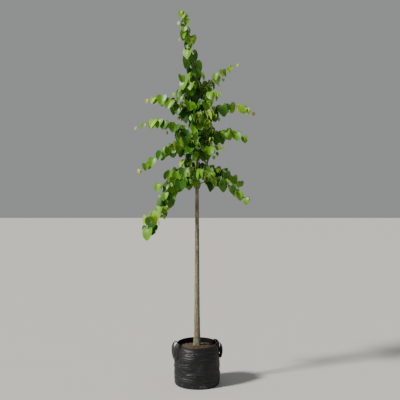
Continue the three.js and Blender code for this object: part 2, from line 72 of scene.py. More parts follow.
TRUNK_TOP = 2.500
TREE_TOP = 3.165
LEAN_START = 1.600
LEAN_AT_TOP = -0.123
LEAN_POWER = 3.5
TRUNK_FOOT_RADIUS = 0.0255
TRUNK_TIP_RADIUS = 0.002
FLARE = 0.0055
FLARE_HEIGHT = 0.150
CLEARANCE = 0.0003

LIMB_SHARE = 0.13
LIMB_BEND = 0.45
LIMB_FOOT_RADIUS = 0.0052
LIMB_TIP_RADIUS = 0.0034
SHOOT_TIP_RADIUS = 0.0011
TWIG_RADIUS = 0.0019

LEAF_WIDTH = 0.106
YOUNGEST_LEAF = 0.42
LEAF_THICKNESS = 0.028  # of its width, for the clearance test
LEAF_FOLD = 0.3
LEAF_CURL = 0.3
PETIOLE = 0.3
PETIOLE_RADIUS = 0.0009
PAIR_SPACING = 0.080
LEADER_SPACING = 0.050
TWIGS = ((0.06, 0.38), (0.24, 0.34))  # share of the leafy length where each leaves, reach over it
LEADER_TWIGS = ((0.012, 0.100), (0.030, 0.090))  # share of the trunk past the leader's start, and reach
LEADER_SEED = 90
UPRIGHT_FACING = 0.5
LEAF_TRIES = 9

SPUR_COUNT = 8
SPUR_LOWEST = 1.760
SPUR_SPACING = 0.078
SPUR_FIRST_BEARING = -5
SPUR_TURN = 137.5
SPUR_TRIES = 30
SPUR_STEP = 12  # from one bearing to the next that is tried
SPUR_REACH = 0.135
SPUR_RISE = 0.060
SPUR_RADIUS = 0.0028
SPUR_SEED = 60

FINER_TWIGS = (0.0, 0.05, 0.11, 0.18, 0.26, 0.35, 0.45, 0.56, 0.67, 0.77, 0.86, 0.94)  # shares of a shoot's leaves
FINER_REACH = 0.120
FINER_SPACING = 0.045
FINER_LEAF = 0.90
FINER_SWINGS = (0, 0.4, -0.4, 0.8, -0.8, 1.2)
BETWEEN_LEAF = 0.92  # of the stem's own leaves
BETWEEN_SPACING = 0.72
BETWEEN_UNTIL = 0.80  # how far out along an arm's leaves these stand
FINER_UNTIL = 0.50

# the freshest tint that a shoot's leaves may have: bright green, fresh green or bronze
UP_TO_BRIGHT, UP_TO_FRESH, UP_TO_BRONZE = 0.77, 1.0, 2.0
BRONZE_WIDTH = 0.042  # of the widest leaf that is bronze

# name, foot on the trunk, bearing from +X towards +Y, reach, rise of the bend over the foot, height of the tip and
# leaf size over the usual
BOUGHS = [
    ("low_right", 1.683, -8, 0.420, 0.122, 1.560, 1.0),
    ("low_left_back", 1.690, 168, 0.180, 0.070, 1.695, 1.1),
    ("low_front", 1.725, -78, 0.370, 0.170, 1.740, 0.95),
    ("low_back", 1.765, 84, 0.410, 0.200, 1.760, 1.0),
    ("second_right", 1.755, 20, 0.405, 0.125, 1.705, 0.98),
    ("drooping_left", 1.827, 192, 0.400, 0.095, 1.295, 0.86),
    ("middle_back_left", 1.885, 122, 0.420, 0.250, 1.960, 1.0),
    ("middle_front_right", 1.870, -52, 0.350, 0.210, 1.975, 0.9),
    ("middle_front_left", 1.920, -122, 0.370, 0.240, 1.990, 0.95),
    ("middle_left", 1.963, 184, 0.493, 0.105, 1.800, 0.95),
    ("middle_right", 1.963, -5, 0.405, 0.270, 2.080, 1.0),
    ("middle_back_right", 2.010, 58, 0.410, 0.290, 2.110, 1.0),
    ("long_left", 2.045, 175, 0.528, 0.275, 2.172, 0.96),
    ("upper_front", 2.085, -88, 0.390, 0.300, 2.190, 1.0),
    ("upper_back", 2.140, 98, 0.410, 0.330, 2.280, 1.0),
    ("long_right", 2.150, 4, 0.495, 0.345, 2.295, 0.98),
    ("upper_left", 2.218, 178, 0.435, 0.262, 2.405, 1.0),
    ("high_front_right", 2.250, -48, 0.290, 0.260, 2.420, 0.98),
    ("high_back_left", 2.300, 128, 0.320, 0.280, 2.500, 0.95),
    ("top_right", 2.390, 8, 0.365, 0.280, 2.725, 0.8),
    ("top_left", 2.395, 205, 0.145, 0.125, 2.590, 1.05),
    ("top_back", 2.440, 76, 0.230, 0.220, 2.680, 0.9),
    ("inner_drooping_left", 1.793, 199, 0.305, 0.090, 1.420, 1.0),
]

# what some boughs have of their own: the youngest leaf's size over the others, closer pairs, other side twigs
OWN_RULES = {
    "low_right": {"youngest": 0.75},
    "low_left_back": {"youngest": 0.9},
    "second_right": {"youngest": 0.75},
    "drooping_left": {
        "youngest": 1.6,
        "youngest_on_twigs": 1.35,
        "spacing": 0.066,
        "twigs": ((0.76, 0.26), (0.84, 0.22)),
    },
    "middle_right": {"youngest": 0.7},
    "top_left": {"youngest": 0.8, "spacing": 0.050},
    "inner_drooping_left": {"twigs": ((0.12, 0.18), (0.50, 0.20))},
}

# the bag's sagging folds: azimuth of the middle in degrees, height, half span, drop at the ends, depth
FOLDS = [
    (-118, 0.075, 0.50, 0.018, 0.0050), (-92, 0.118, 0.62, 0.022, 0.0046), (-58, 0.064, 0.52, 0.016, 0.0048),
    (-30, 0.150, 0.45, -0.014, 0.0040), (-128, 0.186, 0.40, -0.012, 0.0044), (8, 0.092, 0.55, 0.020, 0.0048),
    (46, 0.140, 0.48, 0.016, 0.0044), (80, 0.078, 0.60, -0.016, 0.0046), (112, 0.168, 0.50, 0.014, 0.0042),
    (150, 0.098, 0.52, 0.020, 0.0048), (182, 0.150, 0.44, -0.014, 0.0042), (212, 0.088, 0.46, 0.016, 0.0046),
    (-106, 0.303, 0.36, 0.012, 0.0036), (-84, 0.284, 0.30, -0.010, 0.0030), (-50, 0.296, 0.34, 0.010, 0.0030),
    (-112, 0.262, 0.34, -0.012, 0.0034), (-66, 0.240, 0.40, 0.014, 0.0034), (120, 0.290, 0.40, 0.012, 0.0036),
]

UP = np.array([0.0, 0.0, 1.0])

# ---- small helpers


def unit(vector):
    return vector / np.linalg.norm(vector, axis=-1, keepdims=True)


def full_turn(count):
    """Equal angles once round, from 0."""
    return np.linspace(0, 2 * np.pi, count, endpoint=False)


def round_middle(angle, radius, height):
    """Points (r cos a, r sin a, z) round the bag's middle."""
    return np.stack(np.broadcast_arrays(radius * np.cos(angle), radius * np.sin(angle), height), axis=-1)


def turned(vector, axis, angle):
    """Rodrigues' turn: v cos a + (k x v) sin a + k (k . v)(1 - cos a), for one vector or rows of them."""
    angle = np.asarray(angle)[..., None]
    swung = vector * np.cos(angle) + np.cross(axis, vector) * np.sin(angle)
    return swung + axis * np.sum(axis * vector, axis=-1, keepdims=True) * (1 - np.cos(angle))


def smooth(low, high, x):
    """0 below low and 1 above high, by 3t^2 - 2t^3 between."""
    t = np.clip((x - low) / (high - low), 0, 1)
    return t * t * (3 - 2 * t)


def hump(distance, width):
    """A bell of height 1: exp(-(distance / width)^2)."""
    return np.exp(-((distance / width) ** 2))


def apart(angle, other):
    """The shorter way round between two angles, from 0 to pi."""
    return np.abs((angle - other + np.pi) % (2 * np.pi) - np.pi)


def patchy(around, up, across, rows, seed):
    """Smooth noise from -1 to 1: random numbers on a lattice, eased between. around runs 0 to 1 and joins up."""
    lattice = np.random.default_rng(seed).uniform(-1, 1, (rows + 2, across))
    x, y = (around % 1) * across, np.clip(up, 0, 1) * rows
    column, row = np.floor(x).astype(int) % across, np.floor(y).astype(int)
    right, over = smooth(0, 1, x - np.floor(x)), smooth(0, 1, y - row)
    beside = (column + 1) % across
    low = lattice[row, column] * (1 - right) + lattice[row, beside] * right
    high = lattice[row + 1, column] * (1 - right) + lattice[row + 1, beside] * right
    return low * (1 - over) + high * over


def chance(seed, index):
    """A number from 0 to 1 that depends only on its keys: the fraction of sin(12.9898 s + 78.233 i) 43758.5453."""
    scattered = math.sin(seed * 12.9898 + index * 78.233) * 43758.5453
    return scattered - math.floor(scattered)


def sway(seed, index, amount):
    return (2 * chance(seed, index) - 1) * amount


# ---- meshes from arrays


def in_scene(name, data):
    """A new object in the scene, at the origin and unturned."""
    thing = bpy.data.objects.new(name, data)
    bpy.context.scene.collection.objects.link(thing)
    return thing


class Sheaf:
    """Points and faces of many small surfaces, joined into one mesh. Faces are rows of 3 or 4 point numbers."""

    def __init__(self):
        self.points, self.faces, self.uvs, self.creases, self.count = [], [], [], [], 0

    def add(self, points, faces, uv=None, crease=None, slots=None):
        """faces is a list of arrays, numbered from this surface's first point; slots gives each its material."""
        points = np.asarray(points, dtype=float).reshape(-1, 3)
        for index, rows in enumerate(faces):
            self.faces.append((np.asarray(rows) + self.count, slots[index] if slots else 0))
        self.points.append(points)
        self.uvs.append(np.zeros((len(points), 2)) if uv is None else np.asarray(uv).reshape(-1, 2))
        self.creases.append(np.zeros(len(points), bool) if crease is None else np.asarray(crease).ravel())
        self.count += len(points)

    def piece(self, name, materials, slot_name, nodes):
        """The joined mesh as a piece that rides on the root body and stands for CAD nodes. An edge is sharp where
        both its ends are marked as creased."""
        corners = np.concatenate([rows.ravel() for rows, _ in self.faces])
        sizes = np.concatenate([np.full(len(rows), rows.shape[1]) for rows, _ in self.faces])
        slots = np.concatenate([np.full(len(rows), slot) for rows, slot in self.faces])
        mesh = bpy.data.meshes.new(name)
        mesh.vertices.add(self.count)
        mesh.vertices.foreach_set("co", np.concatenate(self.points).astype(np.float32).ravel())
        mesh.loops.add(len(corners))
        mesh.loops.foreach_set("vertex_index", corners.astype(np.int32))
        mesh.polygons.add(len(sizes))
        mesh.polygons.foreach_set("loop_start", (np.cumsum(sizes) - sizes).astype(np.int32))
        mesh.polygons.foreach_set("material_index", slots.astype(np.int32))
        mesh.polygons.foreach_set("use_smooth", np.ones(len(sizes), bool))
        uv = mesh.uv_layers.new(name="UVMap")
        uv.data.foreach_set("uv", np.concatenate(self.uvs)[corners].astype(np.float32).ravel())
        mesh.update(calc_edges=True)
        ends = np.zeros(2 * len(mesh.edges), np.int32)
        mesh.edges.foreach_get("vertices", ends)
        sharp = mesh.attributes.new("sharp_edge", "BOOLEAN", "EDGE")
        sharp.data.foreach_set("value", np.concatenate(self.creases)[ends].reshape(-1, 2).all(axis=1))
        for material in materials:
            mesh.materials.append(material)
        piece = in_scene(name, mesh)
        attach(piece, "root")
        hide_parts(*nodes)
        return piece


def grid_faces(rows, columns):
    """Quads of a grid of points, numbered row by row, with each row's last point joined to its first."""
    row, column = np.meshgrid(np.arange(rows - 1), np.arange(columns), indexing="ij")
    beside = (column + 1) % columns
    here, above = row * columns, (row + 1) * columns
    return np.stack([here + column, here + beside, above + beside, above + column], axis=-1).reshape(-1, 4)


def cap_faces(first, columns, centre, end=False):
    """Triangles from a ring of points to one in its middle, facing back along the way, or on along it at the end."""
    ring = first + np.arange(columns)
    beside = first + (np.arange(columns) + 1) % columns
    fan = np.stack([np.full(columns, centre), beside, ring], axis=-1)
    return fan[:, ::-1] if end else fan


def tube_faces(rings, sides):
    """The faces of a closed tube: its rings of points, then its first and its last middle point."""
    total = rings * sides
    return [grid_faces(rings, sides), cap_faces(0, sides, total), cap_faces(total - sides, sides, total + 1, True)]


def repeated(faces, count, size):
    """One shape's faces for many copies of it, whose points follow each other."""
    each = np.arange(count)[:, None, None] * size
    return [(each + rows[None]).reshape(-1, rows.shape[1]) for rows in faces]


def rod(line, side, shares, radius, sides, relief=None):
    """A rod along a line, closed at both ends, as points and faces.

    P(s, a) = line(s) + r(s, a) (sin a (T x side) + cos a side), where T is the line's direction at s.
    """
    shares = np.asarray(shares, dtype=float)
    angle = full_turn(sides)
    middle, along = line.at(shares), line.along(shares)
    width = np.repeat(np.broadcast_to(radius(shares), shares.shape)[:, None], sides, axis=1)
    if relief is not None:
        width = width + relief(shares[:, None], angle[None, :])
    ring = np.sin(angle)[None, :, None] * np.cross(along, side)[:, None] + np.cos(angle)[None, :, None] * side
    points = (middle[:, None] + width[..., None] * ring).reshape(-1, 3)
    return np.vstack([points, middle[0], middle[-1]]), tube_faces(len(shares), sides)


# ---- lines


class Arch:
    """A line B(t) = (1-t)^2 A + 2t(1-t) C + t^2 Z from a foot A by a bend C to a tip Z, walked by its length."""

    def __init__(self, foot, bend, tip):
        self.foot, self.bend, self.tip = (np.asarray(point, dtype=float) for point in (foot, bend, tip))
        self.steps = np.linspace(0, 1, 201)
        runs = np.linalg.norm(np.diff(self.point(self.steps), axis=0), axis=1)
        self.walked = np.concatenate([[0], np.cumsum(runs)])
        self.length = self.walked[-1]

    def point(self, t):
        t = np.asarray(t)[..., None]
        return (1 - t) ** 2 * self.foot + 2 * t * (1 - t) * self.bend + t**2 * self.tip

    def step(self, share):
        return np.interp(np.asarray(share) * self.length, self.walked, self.steps)

    def at(self, share):
        return self.point(self.step(share))

    def along(self, share):
        t = self.step(share)[..., None]
        return unit((1 - t) * (self.bend - self.foot) + t * (self.tip - self.bend))


class TrunkLine:
    """The trunk's middle: x = lean ((z - start) / (top - start))^power above the start of the lean, and y = 0."""

    length = TREE_TOP - SOIL_HEIGHT

    def above(self, share):
        height = SOIL_HEIGHT + np.asarray(share) * self.length
        return height, np.maximum(0, (height - LEAN_START) / (TREE_TOP - LEAN_START))

    def at(self, share):
        height, above = self.above(share)
        return np.stack([LEAN_AT_TOP * above**LEAN_POWER, np.zeros_like(height), height], axis=-1)

    def along(self, share):
        height, above = self.above(share)
        slope = LEAN_AT_TOP * LEAN_POWER * above ** (LEAN_POWER - 1) / (TREE_TOP - LEAN_START)
        return unit(np.stack([slope, np.zeros_like(height), np.ones_like(height)], axis=-1))


class Threaded:
    """A centripetal Catmull-Rom line through points, walked by its length: each run is the cubic whose slopes at its
    ends come from the neighbouring points, timed by the square root of their distances."""

    def __init__(self, knots, steps=24):
        knots = np.asarray(knots, dtype=float)
        knots = np.vstack([2 * knots[0] - knots[1], knots, 2 * knots[-1] - knots[-2]])
        gap = np.linalg.norm(np.diff(knots, axis=0), axis=1) ** 0.5
        t = np.linspace(0, 1, steps, endpoint=False)[:, None]
        runs = []
        for i in range(1, len(knots) - 2):
            before, here, after, later = knots[i - 1 : i + 3]
            a, b, c = gap[i - 1 : i + 2]
            out = ((here - before) / a - (after - before) / (a + b) + (after - here) / b) * b
            into = ((after - here) / b - (later - here) / (b + c) + (later - after) / c) * b
            square, cube = -3 * here + 3 * after - 2 * out - into, 2 * here - 2 * after + out + into
            runs.append(here + out * t + square * t**2 + cube * t**3)
        self.points = np.vstack([*runs, knots[-2]])
        self.walked = np.concatenate([[0], np.cumsum(np.linalg.norm(np.diff(self.points, axis=0), axis=1))])
        self.length = self.walked[-1]

    def at(self, share):
        walked = np.asarray(share) * self.length
        return np.stack([np.interp(walked, self.walked, self.points[:, axis]) for axis in range(3)], axis=-1)

    def along(self, share):
        return unit(self.at(np.minimum(share + 0.004, 1)) - self.at(np.maximum(share - 0.004, 0)))


TRUNK = TrunkLine()
TRUNK_SIDE = np.array([0.0, 1.0, 0.0])


def share_at(height):
    return (height - SOIL_HEIGHT) / TRUNK.length


def trunk_radius(share):
    """A straight taper from foot to tip, plus a flare that fades as exp(-height)."""
    taper = TRUNK_FOOT_RADIUS + (TRUNK_TIP_RADIUS - TRUNK_FOOT_RADIUS) * share
    return taper + FLARE * np.exp(-share * TRUNK.length / FLARE_HEIGHT)


def bough_line(foot, bearing, reach, rise, tip):
    angle = math.radians(bearing)
    out = np.array([math.cos(angle), math.sin(angle), 0.0])
    start = TRUNK.at(share_at(foot))
    bend, end = start + out * reach * LIMB_BEND, start + out * reach
    bend[2], end[2] = foot + rise, tip
    return Arch(start, bend, end), np.cross(UP, out)


def bough_radius(share):
    """Straight tapers from the trunk to the first leaves, and from there to the tip."""
    limb = LIMB_FOOT_RADIUS + (LIMB_TIP_RADIUS - LIMB_FOOT_RADIUS) * share / LIMB_SHARE
    past = (share - LIMB_SHARE) / (1 - LIMB_SHARE)
    shoot = LIMB_TIP_RADIUS + (SHOOT_TIP_RADIUS - LIMB_TIP_RADIUS) * past
    return np.where(share < LIMB_SHARE, limb, shoot)


def twig_radius(share):
    return TWIG_RADIUS + (SHOOT_TIP_RADIUS - TWIG_RADIUS) * share


def spur_radius(share):
    return SPUR_RADIUS * (1 - share / 2)


# ---- where every leaf grows


def heart(angle):
    """Distance from the stalk's end to a heart-shaped outline, at an angle from the tip, for a leaf of width 1."""
    around = 0.4538 + 0.273 * np.cos(angle) - 0.0375 * np.cos(2 * angle)
    lobes = 0.082 * np.cos(3 * angle) - 0.0113 * np.cos(4 * angle)
    from_tip = np.minimum(np.abs(angle), 2 * np.pi - np.abs(angle))
    return around + lobes + 0.09 * hump(from_tip, 0.22)


MOST_SOLIDS = 6000


class Space:
    """Everything placed so far. A new solid has room where its faces meet none of theirs."""

    def __init__(self):
        self.boxes = np.zeros((MOST_SOLIDS, 2, 3))
        self.solids = []

    def tree(self, points, faces):
        return BVHTree.FromPolygons(points.tolist(), [row for rows in faces for row in rows.tolist()])

    def settle(self, points, faces, owner):
        self.boxes[len(self.solids)] = points.min(axis=0), points.max(axis=0)
        self.solids.append((self.tree(points, faces), owner))

    def has_room(self, points, faces, owner):
        low, high = points.min(axis=0) - CLEARANCE, points.max(axis=0) + CLEARANCE
        boxes = self.boxes[: len(self.solids)]
        near = np.nonzero(np.all((boxes[:, 0] <= high) & (boxes[:, 1] >= low), axis=1))[0]
        tree = self.tree(points, faces)
        return not any(self.solids[i][1] != owner and self.solids[i][0].overlap(tree) for i in near)


SPACE = Space()
PLAIN_OUTLINE = np.radians([0, 62, 132, 228, 298])


def plain_leaf(leaf):
    """A leaf's simplest solid, which keeps its place: five corners, a point over, a point under, and its stalk."""
    across = np.cross(leaf["down"], leaf["face"])
    own_axes = np.stack([across, leaf["down"], leaf["face"]])
    u, v = heart(PLAIN_OUTLINE) * np.sin(PLAIN_OUTLINE), heart(PLAIN_OUTLINE) * np.cos(PLAIN_OUTLINE)
    corners = np.column_stack([u, v, LEAF_FOLD * np.abs(u) - LEAF_CURL * v * np.abs(v)])
    middle, thick = 0.28, LEAF_THICKNESS / 2 + 2 * CLEARANCE / leaf["width"]
    crown = [[0, middle, -LEAF_CURL * middle**2 + thick], [0, middle, -LEAF_CURL * middle**2 - thick]]
    blade = leaf["junction"] + leaf["width"] * np.vstack([corners, crown]) @ own_axes
    girth = (PETIOLE_RADIUS + CLEARANCE) * np.array([across, -across, leaf["face"]])
    points = np.vstack([blade, leaf["junction"] + girth, leaf["root"] + girth])
    stalk = np.array([[7, 8, 11], [7, 11, 10], [8, 9, 12], [8, 12, 11], [9, 7, 10], [9, 10, 12]])
    return points, [cap_faces(0, 5, 5), cap_faces(0, 5, 6, True), stalk]


def leaf_growth(share, youngest):
    return (1 - 0.25 * share) * (1 - (1 - youngest) * smooth(0.6, 1, share))


# what a shoot has unless it says otherwise: spacing and fewest are of its pairs of leaves, young is its first pair's
# age, youngest its last pair's size, sides are its plain wood's, quarter turns each pair, and until is how far out
# the last pair may be
USUAL = {"upright": False, "mixed": False, "spacing": PAIR_SPACING, "young": 0.0, "sides": 3, "twigs": [], "fewest": 2}
USUAL |= {"leafless": 0, "freshest": UP_TO_BRONZE, "quarter": 0.0, "until": 1.0}
USUAL |= {"youngest": YOUNGEST_LEAF, "youngest_on_twigs": YOUNGEST_LEAF}


def on_shoot(shoot, share):
    """The point on the straight run between the shoot's rings, where its plain wood is thickest."""
    run = (share - shoot["start"]) / (1 - shoot["start"]) * shoot["steps"]
    ring = min(math.floor(run), shoot["steps"] - 1)
    ends = shoot["start"] + (1 - shoot["start"]) * np.array([ring, ring + 1]) / shoot["steps"]
    low, high = shoot["line"].at(np.minimum(ends, 1.0))
    return low + (high - low) * (run - ring)


def grow_leaf(shoot, share, spread, facing, width, seed):
    """One leaf. Its stalk leaves sideways and the blade hangs from it, with its upper face turned outwards."""
    along, root = shoot["line"].along(share), on_shoot(shoot, share)
    stalk_way = unit(spread + along * (0.45 + sway(seed, 1, 0.25)) + UP * 0.3)
    for attempt in range(LEAF_TRIES):
        size = width * (1 - 0.05 * attempt)
        turn = facing + sway(seed, 2, 0.35) + (0.22 if attempt % 2 else -0.22) * attempt
        outward = turned(unit((spread + along * 0.35) * [1, 1, 0]), UP, turn)
        down = unit(outward * (0.42 + sway(seed, 3, 0.22)) + along * (0.2 + sway(seed, 4, 0.2)) - UP * 0.9)
        face = outward + UP * 0.3
        face = unit(face - down * np.dot(face, down))
        leaf = {"root": root, "junction": root + stalk_way * PETIOLE * size, "down": down, "face": face}
        leaf.update(width=size, seed=seed)
        solid = plain_leaf(leaf)
        if SPACE.has_room(*solid, shoot["name"]):
            SPACE.settle(*solid, "leaf")
            return leaf
    return None


def pair_shares(shoot):
    """How far along a shoot its pairs of leaves stand, closer together towards its tip, and how far out each is."""
    start = shoot["leafless"] or shoot["start"]
    pairs = max(shoot["fewest"], math.floor(shoot["line"].length * (1 - start) / shoot["spacing"] + 0.5))
    out = 1 - (1 - (np.arange(pairs) + 0.3) / (pairs - 0.4)) ** 1.2
    return start + (1 - start) * out, out


def grow_pairs(shoot):
    """Pairs of leaves along a shoot, smaller towards its tip, each with its age from 0, the oldest, to 1."""
    line, seed, leaves = shoot["line"], shoot["seed"], []
    for pair, (share, out) in enumerate(zip(*pair_shares(shoot))):
        if out > shoot["until"]:
            break
        age = shoot["young"] + (1 - shoot["young"]) * out
        width = LEAF_WIDTH * shoot["leaf"] * leaf_growth(age, shoot["youngest"]) * (1 + sway(seed, pair, 0.12))
        along = line.along(share)
        steep = max(0, abs(along[2]) - 0.6)
        turn = (pair + 0.5) * math.pi / 2 if shoot["upright"] else sway(seed, pair + 40, 0.45 + 2.4 * steep)
        turn += shoot["quarter"] * (-1) ** pair
        facing = -UPRIGHT_FACING * np.sign(math.sin(2 * turn)) if shoot["upright"] else 0
        for number, way in enumerate((0, math.pi)):
            spread = turned(shoot["side"], along, turn + way)
            leaf = grow_leaf(shoot, share, spread, facing, width, seed * 17 + pair * 2 + number)
            if leaf:
                freshest = UP_TO_BRONZE if shoot["upright"] and age > 0.93 else shoot["freshest"]
                leaves.append(dict(leaf, age=age, mixed=shoot["mixed"], freshest=freshest))
    return leaves


def side_twig(shoot, share, way, reach, seed, leaf=0.86, spacing=PAIR_SPACING, swing=0.0):
    """A twig that leaves a shoot, runs out beside it and droops or lifts a little at its end."""
    root, along = on_shoot(shoot, share), shoot["line"].along(share)
    out = unit((shoot["side"] * way + along * (0.9 + sway(seed, 5, 0.3))) * [1, 1, 0])
    out = turned(out, UP, swing)
    bend = root + out * reach * 0.5 + UP * reach * (0.3 + sway(seed, 6, 0.2))
    tip = root + out * reach + UP * reach * sway(seed, 7, 0.3)
    twig = dict(USUAL, name=shoot["name"], mixed=shoot["mixed"], line=Arch(root, bend, tip), side=np.cross(UP, out))
    twig.update(start=0.0, steps=3, young=0.3, youngest=shoot["youngest_on_twigs"], leaf=shoot["leaf"] * leaf)
    twig.update(spacing=spacing, radius=twig_radius, seed=seed)
    twig["freshest"] = UP_TO_FRESH if shoot["mixed"] or chance(seed, 10) < 0.3 else UP_TO_BRIGHT
    return twig


def wood(shoot, extra=0.0):
    """A shoot's plainest solid, for the clearance test."""
    shares = np.linspace(shoot["start"], 1, shoot["steps"] + 1)
    return rod(shoot["line"], shoot["side"], shares, lambda share: shoot["radius"](share) + extra, shoot["sides"])


def settle_twig(twig):
    """Keeps a twig's place where there is room for it."""
    clear = SPACE.has_room(*wood(twig, 2 * CLEARANCE), twig["name"])
    if clear:
        SPACE.settle(*wood(twig), twig["name"])
    return clear


def grow_mass(mass):
    """A mass's shoots and leaves: its stem, its side twigs, and the pairs of leaves on each."""
    twigs = [
        side_twig(mass, share, 1 if number % 2 else -1, reach, mass["seed"] * 31 + number)
        for number, (share, reach) in enumerate(mass["twigs"])
    ]
    shoots = [mass, *(twig for twig in twigs if settle_twig(twig))]
    return shoots, [leaf for shoot in shoots for leaf in grow_pairs(shoot)]


def filled_until(mass, share):
    """How far out a mass is filled with smaller leaves: an arm up to a share, a drooping or upright one all along."""
    return 1.0 if mass["mixed"] or mass["upright"] else share


def grow_between(mass):
    """Smaller pairs of leaves in the room between a stem's own, turned half a quarter round it."""
    pairs = dict(mass, seed=mass["seed"] + 500, leaf=mass["leaf"] * BETWEEN_LEAF, quarter=math.pi / 4)
    pairs.update(spacing=mass["spacing"] * BETWEEN_SPACING, young=0.1, youngest=min(mass["youngest"], 1))
    pairs["until"] = filled_until(mass, BETWEEN_UNTIL)
    return grow_pairs(pairs)


def grow_finer(mass):
    """Short twiglets with small leaves in the room that the larger ones leave, longest nearest the trunk. One that
    would touch something is swung round its foot, and at last left out."""
    shoots, leaves = [], []
    for number, out in enumerate(FINER_TWIGS):
        if out > filled_until(mass, FINER_UNTIL):
            break
        share = mass["start"] + (1 - mass["start"]) * out
        seed = mass["seed"] * 37 + number
        way = -1 if number % 2 else 1
        reach, leaf = FINER_REACH * (1 - 0.60 * out), FINER_LEAF - 0.25 * out
        for swing in FINER_SWINGS:
            twiglet = side_twig(mass, share, way, reach, seed, leaf, FINER_SPACING, swing)
            twiglet.update(freshest=UP_TO_BRIGHT if out < 0.5 else UP_TO_FRESH, young=0.2 + 0.3 * out)
            if settle_twig(twiglet):
                shoots.append(twiglet)
                leaves += grow_pairs(twiglet)
                break
    return shoots, leaves


def plant_masses():
    """Every mass of foliage with its stem in place, in the order in which they grow: boughs, the leader, spurs."""
    shares = np.linspace(0, 1, 19) ** 2 * share_at(TRUNK_TOP)
    SPACE.settle(*rod(TRUNK, TRUNK_SIDE, shares, trunk_radius, 10), "trunk")
    masses = []

    def plant(mass):
        SPACE.settle(*wood(mass), mass["name"])
        masses.append(mass)

    for number, (name, foot, bearing, reach, rise, tip, leaf) in enumerate(BOUGHS):
        line, side = bough_line(foot, bearing, reach, rise, tip)
        SPACE.settle(*rod(line, side, [0, LIMB_SHARE / 2, LIMB_SHARE], bough_radius, 4), "bough_" + name)
        start = LIMB_SHARE + CLEARANCE / line.length
        length = line.length * (1 - start)
        mass = dict(USUAL, name="foliage_" + name, line=line, side=side, start=start, steps=6, leaf=leaf, twigs=TWIGS)
        mass.update(seed=number + 1, radius=bough_radius, mixed="drooping" in name, **OWN_RULES.get(name, {}))
        mass["twigs"] = [(start + (1 - start) * out, length * over) for out, over in mass["twigs"]]
        mass["freshest"] = UP_TO_FRESH if mass["mixed"] else UP_TO_BRIGHT if mass["youngest"] > 0.5 else UP_TO_BRONZE
        plant(mass)
    start = share_at(TRUNK_TOP) + CLEARANCE / TRUNK.length
    leader = dict(USUAL, name="foliage_leader", line=TRUNK, side=TRUNK_SIDE, start=start, steps=8, leaf=1.15)
    leader.update(young=0.1, youngest=0.55, freshest=UP_TO_BRIGHT, spacing=LEADER_SPACING, upright=True, sides=4)
    leader.update(twigs=[(start + out, reach) for out, reach in LEADER_TWIGS], radius=trunk_radius, seed=LEADER_SEED)
    plant(leader)
    for number in range(SPUR_COUNT):
        foot = SPUR_LOWEST + number * SPUR_SPACING
        spur = dict(USUAL, name=f"foliage_spur_{number + 1}", start=0.0, steps=2, leafless=0.3, fewest=3, leaf=1.0)
        spur.update(youngest=1, seed=SPUR_SEED + number, radius=spur_radius)
        for turn in range(SPUR_TRIES):
            bearing = SPUR_FIRST_BEARING + number * SPUR_TURN + SPUR_STEP * turn
            spur["line"], spur["side"] = bough_line(foot, bearing, SPUR_REACH, SPUR_RISE, foot + SPUR_RISE)
            if SPACE.has_room(*wood(spur, 2 * CLEARANCE), "trunk"):
                break
        plant(spur)
    return masses


# ---- materials


def operator(operation):
    """A method of Value that adds the node for one operation on it and on what else it is given."""
    return lambda value, *others: value.finish.math(operation, value, *others)


class Value:
    """A number on its way through a material. Arithmetic on it adds the node that works it out."""

    def __init__(self, finish, socket):
        self.finish, self.socket = finish, socket

    def ramp(self, low, high):
        """0 at low and 1 at high, eased; high may be the smaller."""
        sockets = {"Value": self, "From Min": low, "From Max": high}
        return self.finish.node("ShaderNodeMapRange", {"interpolation_type": "SMOOTHSTEP"}, sockets)

    __add__ = __radd__ = operator("ADD")
    __sub__, __mul__, __pow__ = operator("SUBTRACT"), operator("MULTIPLY"), operator("POWER")
    __abs__, sine = operator("ABSOLUTE"), operator("SINE")


